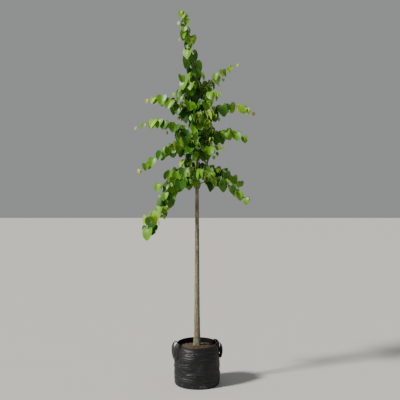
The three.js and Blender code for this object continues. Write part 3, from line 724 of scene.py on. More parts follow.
class Finish:
    """A material that is being made. node() adds any node, and the other methods are short for common ones."""

    def __init__(self, name):
        self.material = bpy.data.materials.new(name)
        self.material.use_nodes = True
        self.tree = self.material.node_tree
        self.shader = next(node for node in self.tree.nodes if node.type == "BSDF_PRINCIPLED")

    def node(self, kind, settings=None, sockets=None, output=0):
        """Any node: its settings first, then its sockets' numbers, colours or links. It gives one output or more."""
        node = self.tree.nodes.new(kind)
        for name, setting in (settings or {}).items():
            setattr(node, name, setting)
        for key, value in (sockets or {}).items():
            self.fill(node.inputs[key], value)
        if isinstance(output, tuple):
            return tuple(Value(self, node.outputs[key]) for key in output)
        return Value(self, node.outputs[output])

    def fill(self, socket, value):
        """Links a value to a socket, or sets a number, a stretch or an opaque colour on it."""
        if isinstance(value, Value):
            self.tree.links.new(value.socket, socket)
        else:
            socket.default_value = (*value, 1) if socket.type == "RGBA" else value

    def math(self, operation, *values):
        return self.node("ShaderNodeMath", {"operation": operation}, dict(enumerate(values)))

    def place(self, kind="Object"):
        """x, y and z in the object's own space, or across and along the piece's own map."""
        where = self.node("ShaderNodeTexCoord", output=kind)
        return self.node("ShaderNodeSeparateXYZ", sockets={0: where}, output=(0, 1, 2))

    def noise(self, scale, detail=3.0, stretch=(1, 1, 1)):
        """Soft noise from 0 to 1 in the object's own space, finer along an axis with a larger stretch."""
        where = self.node("ShaderNodeTexCoord", output="Object")
        where = self.node("ShaderNodeMapping", sockets={"Vector": where, "Scale": stretch})
        return self.node("ShaderNodeTexNoise", sockets={"Vector": where, "Scale": scale, "Detail": detail})

    def coats(self, colour, *coats):
        """A colour under coats of others, each a mask and the colour that shows where the mask is 1."""
        for mask, other in coats:
            colour = self.node("ShaderNodeMix", {"data_type": "RGBA"}, {0: mask, 6: colour, 7: other}, output=2)
        return colour

    def bump(self, height, distance, strength=1.0):
        return self.node("ShaderNodeBump", sockets={"Height": height, "Distance": distance, "Strength": strength})

    def done(self, **sockets):
        """Sets the shader's sockets, named with _ for a space, and gives the material."""
        for name, value in sockets.items():
            self.fill(self.shader.inputs[name.replace("_", " ")], value)
        return self.material


def woven_plastic():
    """Near-black woven plastic: flat tapes over and under each other, greyer with dust where it creases, splashed
    with grit near the ground, and frayed to a reddish brown at the rim along the front and right."""
    finish = Finish("woven_plastic")
    x, y, z = finish.place()
    worn, hem, _ = finish.place("UV")
    around = finish.math("ARCTAN2", y, x)
    tapes = (around * 236).sine() * (z * 1260).sine()
    dust = finish.noise(9, 5) * 0.6 + finish.noise(46, 4) * 0.4
    splashed = finish.noise(30, 6).ramp(0.56, 0.70) * z.ramp(0.07, 0.0) * 0.5
    front = around.ramp(-2.20, -1.90) * around.ramp(-0.10, -0.45)
    frayed = finish.noise(90, 4).ramp(0.35, 0.55) * hem.ramp(0.62, 0.90) * front
    cloth = finish.coats(
        (0.0040, 0.0045, 0.0056),
        (worn * 0.45 + dust.ramp(0.50, 0.74) * 0.3, (0.040, 0.044, 0.052)),
        (splashed, (0.16, 0.14, 0.11)),
        (frayed * 0.85, (0.115, 0.052, 0.040)),
    )
    height = tapes * 0.35 + finish.noise(300, 2) * 0.4 + finish.noise(85, 3) * 3.0
    rough = 0.38 + dust * 0.20 + splashed * 0.3
    weave = finish.bump(height, 0.0005, 0.7)
    return finish.done(Base_Color=cloth, Roughness=rough, Specular_IOR_Level=0.32, Normal=weave)


def strap_webbing():
    """Near-black ribbed webbing: ribs lie along it, crossed by a fine twill, with a row of thread near each edge."""
    finish = Finish("strap_webbing")
    across, along, _ = finish.place("UV")
    ribs, twill = (across * 2090).sine(), ((across + along) * 2600).sine()
    row = abs(abs(across) - 0.0122).ramp(0.0009, 0.0004)
    thread = row * (along * 2100).sine().ramp(-0.1, 0.35)
    dust = finish.noise(38, 5)
    dusted = (dust.ramp(0.40, 0.75) * 0.7, (0.045, 0.046, 0.046))
    cloth = finish.coats((0.0085, 0.0090, 0.0100), dusted, (thread * 0.7, (0.075, 0.075, 0.078)))
    height = ribs * 0.4 + twill * 0.3 + thread * 0.8
    return finish.done(Base_Color=cloth, Roughness=0.62 + dust * 0.25, Normal=finish.bump(height, 0.0004, 0.8))


def compost():
    """Dark brown fibrous compost with paler crumbs and a yellow-green skin of moss to the left of the stem, the moss's
    colours kept dark as painted shade of the bag.
    """
    finish = Finish("compost")
    x, y, _ = finish.place()
    crumbs, fibres = finish.noise(120, 6), finish.noise(60, 8, (1, 3, 1))
    away = ((x + 0.080) ** 2 + (y + 0.010) ** 2) ** 0.5
    moss = (finish.noise(26, 5) * 0.09 + away).ramp(0.115, 0.085) * finish.noise(150, 5).ramp(0.40, 0.58)
    earth = finish.coats(
        (0.009, 0.006, 0.004),
        (crumbs.ramp(0.38, 0.66), (0.055, 0.035, 0.022)),
        (fibres.ramp(0.60, 0.72) * 0.6, (0.15, 0.10, 0.060)),
        # moss: its own yellow-green, darkened all over by painted shade of the bag
        (moss, finish.coats((0.022, 0.030, 0.006), (finish.noise(200, 4), (0.105, 0.110, 0.022)))),
    )
    return finish.done(Base_Color=earth, Roughness=0.93, Normal=finish.bump(crumbs + fibres * 0.6, 0.004))


def bark_chips():
    finish = Finish("bark_chips")
    grain = finish.noise(70, 6, (1, 2.5, 1))
    chip = finish.coats((0.045, 0.028, 0.018), (grain.ramp(0.3, 0.7), (0.19, 0.125, 0.080)))
    return finish.done(Base_Color=chip, Roughness=0.85, Normal=finish.bump(grain, 0.002))


def trunk_bark():
    """Grey-beige bark, greener higher up, with fine upright cracks and short level lenticels."""
    finish = Finish("trunk_bark")
    z = finish.place()[2]
    streaks, patches = finish.noise(55, 6, (1, 1, 0.16)), finish.noise(16, 4, (1, 1, 0.35))
    lenticels = finish.noise(130, 2, (1, 1, 3.2)).ramp(0.66, 0.74)
    blotches = finish.noise(96, 7, (1, 1, 1.2)).ramp(0.46, 0.62)
    bark = finish.coats(
        (0.104, 0.090, 0.050),
        (streaks.ramp(0.30, 0.70), (0.285, 0.262, 0.165)),
        (patches.ramp(0.50, 0.68) * 0.6, (0.165, 0.180, 0.085)),
        (z.ramp(1.5, 2.6) * 0.75, (0.105, 0.105, 0.034)),
        (blotches * 0.90, (0.060, 0.053, 0.030)),
        (lenticels * 0.65, (0.045, 0.032, 0.020)),
    )
    height = streaks * 0.7 + lenticels * 0.5 + patches * 0.3
    return finish.done(Base_Color=bark, Roughness=0.72 + streaks * 0.15, Normal=finish.bump(height, 0.0016))


def young_bark():
    """Smooth olive-brown bark of this year's wood, with pale specks."""
    finish = Finish("young_bark")
    grain, specks = finish.noise(120, 4), finish.noise(320, 2).ramp(0.64, 0.72)
    paler = (grain.ramp(0.35, 0.65), (0.185, 0.150, 0.060))
    bark = finish.coats((0.110, 0.085, 0.035), paler, (specks * 0.6, (0.30, 0.24, 0.14)))
    return finish.done(Base_Color=bark, Roughness=0.55 + grain * 0.15, Normal=finish.bump(grain, 0.0006))


def frayed_thread():
    finish = Finish("frayed_thread")
    thread = finish.coats((0.10, 0.045, 0.035), (finish.noise(90), (0.20, 0.10, 0.075)))
    return finish.done(Base_Color=thread, Roughness=0.8)


def leaf_side(name, colour, roughness):
    """One side of a leaf, in one plain colour."""
    return Finish(name).done(Base_Color=colour, Roughness=roughness, Specular_IOR_Level=0.28)


# tint: upper face, underside
TINTS = {
    "deep": ((0.013, 0.068, 0.002), (0.062, 0.185, 0.018)),
    "green": ((0.032, 0.124, 0.004), (0.088, 0.240, 0.024)),
    "bright": ((0.092, 0.242, 0.006), (0.160, 0.330, 0.030)),
    "fresh": ((0.200, 0.375, 0.010), (0.260, 0.430, 0.036)),
    "bronze": ((0.330, 0.300, 0.016), (0.380, 0.340, 0.032)),
}
# how fresh a leaf may be in each tint
TINT_LIMITS = (("deep", 0.22), ("green", 0.52), ("bright", 0.78), ("fresh", 1.02), ("bronze", 9))


def tint_of(leaf):
    """Older leaves are deeper and the last pairs of a long shoot are fresh green or bronze. A mixed bough, a drooping
    one on the sunny left, is green and bright green, paler than its age gives, partly its own tint and partly a
    painted sheen of the sun, with deep and fresh leaves side by side at its end. No leaf is fresher than its shoot's
    freshest, and only a small leaf is bronze."""
    freshest = min(leaf["freshest"], UP_TO_FRESH) if leaf["width"] > BRONZE_WIDTH else leaf["freshest"]
    # a mixed bough's inner leaves are paler than their age: partly painted sheen of the sun on the left
    mixed = 0.64 + sway(leaf["seed"], 9, 0.48) if leaf["age"] > 0.7 else 0.50 + sway(leaf["seed"], 9, 0.26)
    spread = min(mixed if leaf["mixed"] else leaf["age"] + sway(leaf["seed"], 8, 0.16), freshest)
    return next(tint for tint, limit in TINT_LIMITS if spread < limit)


# ---- leaves, stalks and wood

LEAF_ANGLES = np.radians([0, 11, 30, 56, 86, 116, 143, 166, 180, 194, 217, 244, 274, 304, 330, 349])
LEAF_RING = 0.52  # of the way from the stalk to the outline
BLADE = 0.0035  # half a leaf's thickness over its width
FOLD_ROUNDING = 0.03
BUD_LENGTH = 0.009
LEADER_BUD = 0.012
NODE_SWELLING = 0.004  # how far from a pair of leaves the wood swells
RING_SCARS = 26
KNOTS = 9


def strip_faces(inner, outer, columns):
    """Triangles from an inner ring of points to an outer one. Each four-sided gap is split from its inner corner to
    the next outer one, the same way on both sides of a thin blade, so that neither side shows through the other."""
    here = np.arange(columns)
    beside = (here + 1) % columns
    near = np.stack([inner + here, inner + beside, outer + beside], axis=-1)
    far = np.stack([inner + here, outer + beside, outer + here], axis=-1)
    return np.concatenate([near, far])


def gathered(leaves, key):
    """One array of what every leaf has under a key."""
    return np.stack([leaf[key] for leaf in leaves])


def leaf_blades(leaves):
    """Closed heart-shaped blades, all at once, as points, faces and the points on their outlines.

    With u across and v towards the tip, on rays from the stalk to r = heart(angle), the upper side stands
    h = fold (sqrt(u^2 + 0.03^2) - 0.03) - curl v |v| + ripple sin(3 angle), and the underside lies one blade below.
    """
    dealt = ((11, LEAF_FOLD * 0.8, 0.15), (12, LEAF_CURL * 0.9, 0.18), (13, 0, 0.07), (14, 0, 3.1))
    fold, curl, lean, phase = (
        np.array([middle + sway(seed, key, spread) for seed in gathered(leaves, "seed")])[:, None]
        for key, middle, spread in dealt
    )
    radius, count = heart(LEAF_ANGLES), len(LEAF_ANGLES)
    reach = np.concatenate([[0], LEAF_RING * radius, radius, LEAF_RING * radius, [0]])
    angle = np.concatenate([[0], LEAF_ANGLES, LEAF_ANGLES, LEAF_ANGLES, [0]])
    edge = np.repeat([0, LEAF_RING, 1, LEAF_RING, 0], [1, count, count, count, 1])
    thick = np.repeat([BLADE, BLADE, 0, -BLADE, -BLADE], [1, count, count, count, 1])
    v = reach * np.cos(angle)
    u = reach * np.sin(angle) + lean * v * np.abs(v)
    ripple = edge**2 * np.sin(3 * angle + phase) * 0.022
    h = fold * (np.sqrt(u**2 + FOLD_ROUNDING**2) - FOLD_ROUNDING) - curl * v * np.abs(v) + ripple + thick
    down, face, width = (gathered(leaves, key) for key in ("down", "face", "width"))
    blade = np.stack(np.broadcast_arrays(u, v, h), axis=-1) @ np.stack([np.cross(down, face), down, face], axis=1)
    points = gathered(leaves, "junction")[:, None] + width[:, None, None] * blade
    over, outline, below = 1, 1 + count, 1 + 2 * count
    upper = [cap_faces(over, count, 0), strip_faces(over, outline, count)]
    under = [cap_faces(below, count, len(reach) - 1, True), strip_faces(below, outline, count)[:, ::-1]]
    return points, repeated([*upper, *under], len(leaves), len(reach)), np.tile(thick == 0, len(leaves))


def leaf_stalks(leaves, sides=5, rings=5):
    """Thin stalks from shoot to blade, all at once: root + way s, less a sag s (1 - s), with equal angles about that
    way. A stalk swells a little where it meets the shoot and the blade."""
    root, junction, down = (gathered(leaves, key)[:, None, None] for key in ("root", "junction", "down"))
    run = junction - root
    side = unit(np.cross(run, down))
    share = np.linspace(0, 1, rings)[None, :, None, None]
    angle = full_turn(sides)[None, None, :, None]
    radius = PETIOLE_RADIUS * (0.85 + 0.9 * hump(share, 0.1) + 0.3 * hump(1 - share, 0.12))
    ring = np.cos(angle) * side + np.sin(angle) * np.cross(unit(run), side)
    sag = UP * np.linalg.norm(run, axis=-1, keepdims=True) * 0.10 * share * (1 - share)
    middle = root + run * share - sag
    points = (middle + radius * ring).reshape(len(leaves), -1, 3)
    points = np.concatenate([points, root[:, 0], (root + run)[:, 0]], axis=1)
    return points, repeated(tube_faces(rings, sides), len(leaves), rings * sides + 2)


def shoot_rod(shoot, sides):
    """A shoot's wood, swollen at each pair of leaves and ending in a bud: its radius gains bells at the nodes, and
    over the length of the bud it swells and closes like scales."""
    line, start = shoot["line"], shoot["start"]
    nodes = pair_shares(shoot)[0]
    plain = np.linspace(start, 1, max(6, int(line.length * (1 - start) / 0.012)))
    beside = [node + step / line.length for node in nodes for step in (-NODE_SWELLING, 0, NODE_SWELLING)]
    bud = 1 - np.array([BUD_LENGTH, 0.0065, 0.0045, 0.0025, 0.001]) / line.length
    shares = np.unique(np.clip(np.concatenate([plain, beside, bud]), start, 1))

    def radius(share):
        left = (1 - share) * line.length / BUD_LENGTH
        swell = sum(0.0005 * hump((share - node) * line.length, NODE_SWELLING) for node in nodes)
        tip = 0.0019 * np.sqrt(np.clip(left, 0, 1)) * (1.25 - 0.25 * left)
        return np.where(left < 1, np.maximum(tip, 0.0002), shoot["radius"](share) + swell)

    return rod(line, shoot["side"], shares, radius, sides)


def trunk_relief(share, angle):
    """What stands out of the trunk's plain taper: slow ripples, ring scars, healed knots on the clear stem, a collar
    under each bough and three lobes in the flare. Each knot and collar is a bell in height and round the stem."""
    height = SOIL_HEIGHT + share * TRUNK.length
    round_stem = angle / (2 * np.pi)
    relief = 0.0007 * patchy(round_stem, share, 6, 60, 21) + 0.0004 * patchy(round_stem, share, 12, 420, 22)
    relief = relief + 0.0035 * np.exp(-(height - SOIL_HEIGHT) / 0.030) * np.cos(3 * angle + 0.6)
    for ring in range(RING_SCARS):
        level = 0.42 + ring * 0.098 + sway(ring, 3, 0.02)
        lean = np.cos(angle - sway(ring, 4, math.pi))
        relief = relief + 0.0008 * (0.7 + 0.3 * lean) * hump(height - level - 0.003 * lean, 0.0035)
    for knot in range(KNOTS):
        level, aside = 0.52 + knot * 0.128 + sway(knot, 5, 0.03), apart(angle, sway(knot, 6, math.pi))
        relief = relief + 0.0034 * hump(height - level, 0.007) * hump(aside, 0.42)
        relief = relief - 0.0022 * hump(height - level, 0.003) * hump(aside, 0.18)
    for _, foot, bearing, *_ in BOUGHS:
        way = math.atan2(-math.cos(math.radians(bearing)), math.sin(math.radians(bearing)))
        relief = relief + 0.0042 * hump(height - foot - 0.004, 0.012) * hump(apart(angle, way), 0.65)
    return relief * (0.35 + 0.65 * (1 - share))


def trunk_shape(share):
    """The trunk's taper, closed by a bud at the leader's tip."""
    left = (1 - share) * TRUNK.length / LEADER_BUD
    return np.where(left < 1, 0.0024 * np.sqrt(np.clip(left, 0.004, 1)), trunk_radius(share))


def bough_shape(share, length):
    """A bough's taper with a flared collar where it leaves the trunk."""
    return bough_radius(share) + 0.0030 * hump(share * length, 0.018)


# ---- the bag


def bag_radius(height):
    """A rounded foot, a full belly and a rim drawn in above the shoulder."""
    foot = np.minimum(1, height / BAG_FOOT_ROUNDING)
    belly = BAG_FOOT_RADIUS + (BAG_BELLY_RADIUS - BAG_FOOT_RADIUS) * np.sqrt(1 - (1 - foot) ** 2)
    drawn = smooth(BAG_SHOULDER, BAG_NECK, height) / smooth(BAG_SHOULDER, BAG_NECK, BAG_HEIGHT)
    return belly - (BAG_BELLY_RADIUS - BAG_RIM_RADIUS) * drawn


def beside_straps(angle, width):
    """Near 1 beside a strap's seam and 0 away from both."""
    return sum(hump(apart(angle, math.radians(azimuth)), width) for azimuth in HANDLE_AZIMUTHS.values())


def crumple(angle, height):
    """How far the bag's cloth stands out of its smooth shape, and how creased it is from 0 to 1.

    Noise n at three sizes gives soft hills of (n^2 + 0.006)^(1/2) with valleys between, and each fold is a lip over
    a hollow, t exp(-t^2) over its own sagging line. All of it fades at the foot, the straps' seams and the hem.
    """
    around, up = angle / (2 * np.pi), height / BAG_HEIGHT
    around = around + 0.11 * up + 0.02 * patchy(around, up, 7, 5, 31)
    up = np.clip(up + 0.04 * patchy(around, up, 6, 4, 32), 0, 1)
    out, worn = 0.0010, 0
    for across, rows, seed, depth in ((8, 4, 33, 0.0064), (20, 11, 34, 0.0046), (50, 27, 35, 0.0028)):
        valley = np.sqrt(patchy(around, up, across, rows, seed) ** 2 + 0.006)
        out = out + depth * (np.minimum(valley, 0.5) - 0.25)
        worn = np.maximum(worn, (1 - smooth(0.07, 0.17, valley)) * (0.10 + depth * 30))
    for azimuth, level, half_span, sag, depth in FOLDS:
        aside = apart(angle, math.radians(azimuth)) / half_span
        t = (height - level + sag * aside**2) / 0.0070
        fade = 1 - smooth(0.45, 1.0, aside)
        out = out + depth * fade * 1.8 * t * np.exp(-(t**2))
        worn = np.maximum(worn, fade * hump(t - 0.7, 0.45))
    calm = smooth(0.004, 0.040, height) * (1 - 0.75 * smooth(0.315, 0.330, height))
    calm = calm * (1 - 0.92 * beside_straps(angle, 0.50) * smooth(0.20, 0.30, height))
    return out * calm, worn * calm


def bag_wall(angle, height):
    """The bag's outer radius, its true height and its creasing: the cloth crumples, the hem is doubled and stitched
    down, the rim wavers in and out, sags in front and stands higher behind, and a seam runs round the foot."""
    out, worn = crumple(angle, height)
    around, middle = angle / (2 * np.pi), np.full_like(height, 0.5)
    calm = 1 - 0.85 * beside_straps(angle, 0.55)
    out = out + 0.0045 * patchy(around, middle, 9, 1, 36) * calm * smooth(0.29, BAG_HEIGHT, height)
    above_hem = height - (BAG_HEIGHT - HEM_DEPTH)
    hem = 0.0009 * smooth(-0.0015, 0.0015, above_hem) - 0.0012 * hump(above_hem - 0.004, 0.0013)
    out = out + hem * calm + 0.0014 * hump(height - 0.014, 0.0030)
    lift = 0.0085 * np.sin(angle) - 0.0015 * patchy(around, middle, 14, 1, 37)
    return bag_radius(height) + out, height + lift * smooth(0.26, BAG_HEIGHT, height), worn


def make_bag(columns=264):
    """The bag as one closed shell: up its outer wall, over the rim and down the inner wall to the inner floor."""
    angle = full_turn(columns)[None, :]
    foot = np.linspace(0, BAG_FOOT_ROUNDING, 12, endpoint=False)
    outer = np.concatenate([foot, np.linspace(BAG_FOOT_ROUNDING, BAG_HEIGHT, 112)])
    inner = np.concatenate([np.linspace(BAG_HEIGHT, 0.28, 22), [0.22, 0.15, 0.08, BAG_FOOT_ROUNDING, BAG_WALL]])
    rows = np.concatenate([outer, [BAG_HEIGHT], inner])[:, None]
    inset = np.repeat([0, BAG_WALL / 2, BAG_WALL], [len(outer), 1, len(inner)])[:, None]
    radius, height, worn = bag_wall(*np.broadcast_arrays(angle, rows))
    radius = radius - inset
    height[[len(outer) - 1, len(outer) + 1]] -= 0.0007
    points = round_middle(angle, radius, height).reshape(-1, 3)
    points = np.vstack([points, [0, 0, 0], [0, 0, BAG_WALL]])
    hem = smooth(BAG_HEIGHT - HEM_DEPTH, BAG_HEIGHT, rows) + 0 * angle
    uv = np.vstack([np.stack([worn, hem], axis=-1).reshape(-1, 2), [[0, 0], [0, 0]]])
    crease = np.arange(len(points)) < columns
    sheaf = Sheaf()
    sheaf.add(points, tube_faces(len(rows), columns), uv, crease)
    add_frayed_threads(sheaf)
    return sheaf.piece("grow_bag_cloth", [woven_plastic(), frayed_thread()], "woven_bag", ["grow_bag"])


def add_frayed_threads(sheaf, count=150):
    """Short threads that have worked loose from the rim's edge, each a bent three-sided sliver of two lengths."""
    dice = np.random.default_rng(41)
    angle = dice.uniform(math.radians(-128), math.radians(8), count)
    radius, height, _ = bag_wall(angle, np.full(count, BAG_HEIGHT))
    out = round_middle(angle, 1, 0)
    across = np.cross(UP, out)
    root = out * (radius - BAG_WALL / 2)[:, None] + UP * (height - 0.0012)[:, None]
    lean, droop = dice.uniform(-1, 1, (count, 1)), dice.uniform(-0.9, 0.3, (count, 1))
    length = dice.uniform(0.004, 0.010, (count, 1))
    knee = root + (out * 0.35 + across * lean * 0.6 + UP * 0.45) * length * 0.5
    tip = knee + (out * 0.6 + across * lean + UP * droop) * length * 0.5
    girth = 0.00035 * np.array([[1, 0], [-0.5, -0.87], [-0.5, 0.87]])
    ring = girth[None, :, :1] * across[:, None] + girth[None, :, 1:] * out[:, None]
    points = np.concatenate([root[:, None] + ring, knee[:, None] + ring * 0.8, tip[:, None]], axis=1)
    sliver = [grid_faces(2, 3), cap_faces(3, 3, 6, True), np.array([[0, 2, 1]])]
    sheaf.add(points, repeated(sliver, count, 7), slots=[1, 1, 1])


def handle_line(azimuth):
    """One loop of webbing: up from its seam, over the rim, down a standing leg, round the bottom and back."""
    flush = 2 * CLEARANCE + STRAP_THICKNESS / 2 - BAG_RIM_RADIUS
    legs = [(1.0, bag_radius(BAG_HEIGHT + up) + flush, up) for up in HANDLE_SEAM]
    legs += [
        (1.0, HANDLE_STANDOFF * 0.42, HANDLE_CREST),
        (0.98, HANDLE_STANDOFF * 0.92, -HANDLE_DROP * 0.10),
        (0.92, HANDLE_STANDOFF, -HANDLE_DROP * 0.43),
        (0.74, HANDLE_STANDOFF * 0.92, -HANDLE_DROP * 0.78),
    ]

    def place(leg, way):
        turn, off, up = leg
        angle = math.radians(azimuth) + way * turn * HANDLE_HALF_GAP / BAG_RIM_RADIUS
        radius = BAG_RIM_RADIUS + off
        return [radius * math.cos(angle), radius * math.sin(angle), BAG_HEIGHT + up]

    bottom = BAG_HEIGHT - HANDLE_DROP + STRAP_WIDTH / 2
    lowest = (0.0, bag_radius(bottom) + 0.008 - BAG_RIM_RADIUS, bottom - BAG_HEIGHT)
    return Threaded([*(place(leg, -1) for leg in legs), place(lowest, 0), *(place(leg, 1) for leg in reversed(legs))])


def make_handle(side, azimuth, finish, rings=190, half=17):
    """A strap: a flat ribbed section carried along its line. It faces out round the bottom of the loop, lies level
    over the crest, and turns by 60 sin^2 degrees in each leg.

    The section's thickness at x across is t (1 - |x|^10)^(1/2), with shallow ribs, over and under its middle.
    """
    line = handle_line(azimuth)
    share = np.linspace(0, 1, rings)
    middle, along = line.at(share), line.along(share)
    out, way = unit(middle * [1, 1, 0]), np.where(share < 0.5, 1, -1)
    from_bottom = np.abs(2 * share - 1)
    flat = smooth(0.45, 0.6, from_bottom)[:, None]
    width = unit(np.cross(out, along) * (1 - flat) + np.cross(UP, out) * way[:, None] * flat)
    twist = np.sin(np.pi * np.minimum(1, from_bottom / STRAP_FLAT_FROM)) ** 2
    width = turned(width, along, -way * np.radians(STRAP_TWIST) * twist)
    face = unit(np.cross(width, along))
    x = np.sin(np.linspace(-np.pi / 2, np.pi / 2, half))
    thick = STRAP_THICKNESS / 2 * np.sqrt(1 - np.abs(x) ** 10) * (0.93 + 0.07 * np.cos(x * 11 * np.pi))
    x, z = np.concatenate([x, x[-2:0:-1]]), np.concatenate([thick, -thick[-2:0:-1]])
    points = middle[:, None] + width[:, None] * x[None, :, None] * STRAP_WIDTH / 2 + face[:, None] * z[None, :, None]
    points = np.vstack([points.reshape(-1, 3), middle[0], middle[-1]])
    uv = np.stack(np.broadcast_arrays(x[None] * STRAP_WIDTH / 2, share[:, None] * line.length), axis=-1)
    sheaf = Sheaf()
    sheaf.add(points, tube_faces(rings, len(x)), np.vstack([uv.reshape(-1, 2), [[0, 0], [0, line.length]]]))
    return sheaf.piece(f"strap_{side}", [finish], "webbing", [f"handle_{side}"])


def soil_surface(angle, share):
    """The compost's top: a low dome with clods on two sizes of noise, lifted a little round the stem."""
    around = angle / (2 * np.pi)
    clods = 0.0040 * patchy(around, share, 26, 9, 51) * share + 0.0028 * patchy(around, share, 61, 21, 52) * share
    return SOIL_HEIGHT - SOIL_DOME * smooth(0.35, 1, share) + clods + 0.004 * hump(share, 0.22)


def make_soil(columns=132, rings=44):
    """The root ball as one closed solid: its sides up from the floor, and its cloddy top out to the bag's wall."""
    angle = full_turn(columns)[None, :]
    share = np.linspace(1, 0, rings, endpoint=False)[:, None]
    floor, inset = BAG_WALL + 0.0004, BAG_WALL + 0.0006
    depths = np.array([floor, BAG_FOOT_ROUNDING, 0.08, 0.15, 0.22, 0.26])[:, None]
    wall = bag_wall(*np.broadcast_arrays(angle, depths))[0] - inset
    top = soil_surface(*np.broadcast_arrays(angle, share))
    radius = np.vstack([wall, (bag_wall(angle, top[:1])[0] - inset) * share])
    height = np.vstack([depths + 0 * angle, top])
    points = round_middle(angle, radius, height).reshape(-1, 3)
    points = np.vstack([points, [0, 0, floor], [0, 0, SOIL_HEIGHT + 0.004]])
    sheaf = Sheaf()
    sheaf.add(points, tube_faces(len(depths) + rings, columns))
    add_chips(sheaf)
    return sheaf.piece("compost_top", [compost(), bark_chips()], "soil", ["root_ball"])


def add_chips(sheaf, count=230):
    """Flat chips and crumbs lying on the compost: eight-cornered slabs, tapered, turned and tipped at random."""
    dice = np.random.default_rng(61)
    angle, share = dice.uniform(0, 2 * np.pi, count), np.sqrt(dice.uniform(0.03, 0.90, count))
    centre = round_middle(angle, 0.158 * share, soil_surface(angle, share) + 0.0012)
    size = np.array([0.0085, 0.0045, 0.0018]) * dice.uniform(0.3, 1.2, (count, 1, 3))
    corners = np.array([[x, y, z] for z in (-1, 1) for x, y in ((-1, -1), (1, -1), (1, 1), (-1, 1))])
    local = corners[None] * size * dice.uniform(0.7, 1.0, (count, 8, 1))
    turn, tip = dice.uniform(0, 2 * np.pi, (count, 1)), dice.uniform(-0.4, 0.4, (count, 1))
    local = turned(turned(local, np.array([1.0, 0, 0]), tip), UP, turn)
    block = np.array([[0, 3, 2, 1], [4, 5, 6, 7], [0, 1, 5, 4], [1, 2, 6, 5], [2, 3, 7, 6], [3, 0, 4, 7]])
    sheaf.add(centre[:, None] + local, repeated([block], count, 8), crease=np.ones(count * 8, bool), slots=[1])


# ---- the object

FOLIAGE = [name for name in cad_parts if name.startswith("foliage_")]
LIMBS = [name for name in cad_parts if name.startswith("bough_")]


def make_foliage(leaves):
    """One piece for each tint, with the upper faces in one material and the undersides in another."""
    for tint, (upper, under) in TINTS.items():
        sheaf = Sheaf()
        points, faces, outline = leaf_blades([leaf for leaf in leaves if tint_of(leaf) == tint])
        sheaf.add(points, faces, crease=outline, slots=[0, 0, 1, 1])
        sides = [leaf_side(f"{tint}_upper", upper, 0.40), leaf_side(f"{tint}_underside", under, 0.65)]
        sheaf.piece(f"leaves_{tint}", sides, "foliage", FOLIAGE)
    stalks = Sheaf()
    stalks.add(*leaf_stalks(leaves))
    stalk = Finish("leaf_stalk").done(Base_Color=(0.200, 0.225, 0.055), Roughness=0.5)
    stalks.piece("leaf_stalks", [stalk], "foliage", FOLIAGE)


def make_wood(masses, shoots, bark):
    """The trunk with its bark's relief, the boughs, and the leafy shoots and twigs that they end in."""
    trunk, limbs, twigs = Sheaf(), Sheaf(), Sheaf()
    top = share_at(TRUNK_TOP)
    shares = np.concatenate([np.linspace(0, top, 640), np.linspace(top, 1, 130)[1:]])
    trunk.add(*rod(TRUNK, TRUNK_SIDE, shares, trunk_shape, 40, trunk_relief))
    trunk.piece("trunk_wood", [trunk_bark()], "bark", ["trunk"])
    for mass in masses[: len(BOUGHS)]:
        line = mass["line"]
        shares = np.linspace(0, LIMB_SHARE * 1.02, 22)
        limbs.add(*rod(line, mass["side"], shares, lambda share: bough_shape(share, line.length), 12))
    limbs.piece("bough_wood", [bark], "young_bark", LIMBS)
    for shoot in shoots:
        if shoot["line"] is not TRUNK:
            twigs.add(*shoot_rod(shoot, 8 if shoot["start"] else 6))
    twigs.piece("shoots_and_twigs", [bark], "young_bark", FOLIAGE)


def make_tree():
    masses = plant_masses()
    grown = [grow_mass(mass) for mass in masses]
    between = [leaf for mass in masses for leaf in grow_between(mass)]
    grown += [grow_finer(mass) for mass in masses]
    make_wood(masses, [shoot for shoots, _ in grown for shoot in shoots], young_bark())
    make_foliage(between + [leaf for _, leaves in grown for leaf in leaves])


# ---- floor, light and camera

FLOOR_HALF = 40
FLOOR_BELOW = 0.0006
SENSOR_WIDTH = 36  # of the camera, in millimetres
FOCUS_OVER_WIDTH = 647 / 400  # focal length over the width of the picture


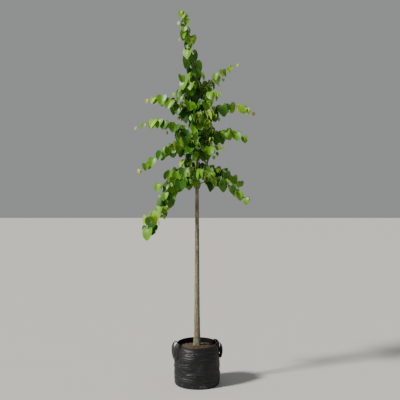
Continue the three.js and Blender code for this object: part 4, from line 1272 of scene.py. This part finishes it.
def make_floor():
    """A plain pale floor, wide enough to reach the horizon."""
    mesh = bpy.data.meshes.new("floor")
    corners = [(FLOOR_HALF * x, FLOOR_HALF * y, -FLOOR_BELOW) for x, y in ((-1, -1), (1, -1), (1, 1), (-1, 1))]
    mesh.from_pydata(corners, [], [(0, 1, 2, 3)])
    finish = Finish("pale_floor")
    pale = finish.coats((0.50, 0.49, 0.47), (finish.noise(1.5) * 0.3, (0.56, 0.55, 0.53)))
    mesh.materials.append(finish.done(Base_Color=pale, Roughness=0.9))
    floor = in_scene("floor", mesh)


def add_light(name, kind, energy, place, target, **settings):
    light = bpy.data.lights.new(name, kind)
    light.energy = energy
    for setting, value in settings.items():
        setattr(light, setting, value)
    lamp = in_scene(name, light)
    lamp.location = place
    lamp.rotation_euler = (Vector(target) - Vector(place)).to_track_quat("-Z", "Y").to_euler()


def light_and_frame():
    """A broad sun from the upper left in front, a soft fill from the right, a pale surround, and the camera."""
    world = bpy.data.worlds.new("pale_surround")
    world.use_nodes = True
    surround = next(node for node in world.node_tree.nodes if node.type == "BACKGROUND")
    surround.inputs["Color"].default_value = (0.86, 0.87, 0.88, 1)
    surround.inputs["Strength"].default_value = 0.34
    bpy.context.scene.world = world
    sun = {"angle": math.radians(9), "color": (1.0, 0.96, 0.89)}
    add_light("broad_sun", "SUN", 6.2, (-5.2, -2.8, 6.0), (0, 0, 1.4), **sun)
    add_light("soft_fill", "AREA", 16, (4.0, -4.0, 2.6), (0, 0, 1.6), size=3.0)
    camera = bpy.data.cameras.new("camera")
    camera.lens, camera.sensor_width, camera.shift_y = FOCUS_OVER_WIDTH * SENSOR_WIDTH, SENSOR_WIDTH, -0.0119
    viewer = in_scene("camera", camera)
    viewer.matrix_world = Matrix.Translation((0.025, -5.5, 1.6)) @ Matrix.Rotation(math.pi / 2, 4, "X")
    bpy.context.scene.camera = viewer


make_bag()
make_soil()
webbing = strap_webbing()
for side, azimuth in HANDLE_AZIMUTHS.items():
    make_handle(side, azimuth, webbing)
make_tree()
make_floor()
light_and_frame()
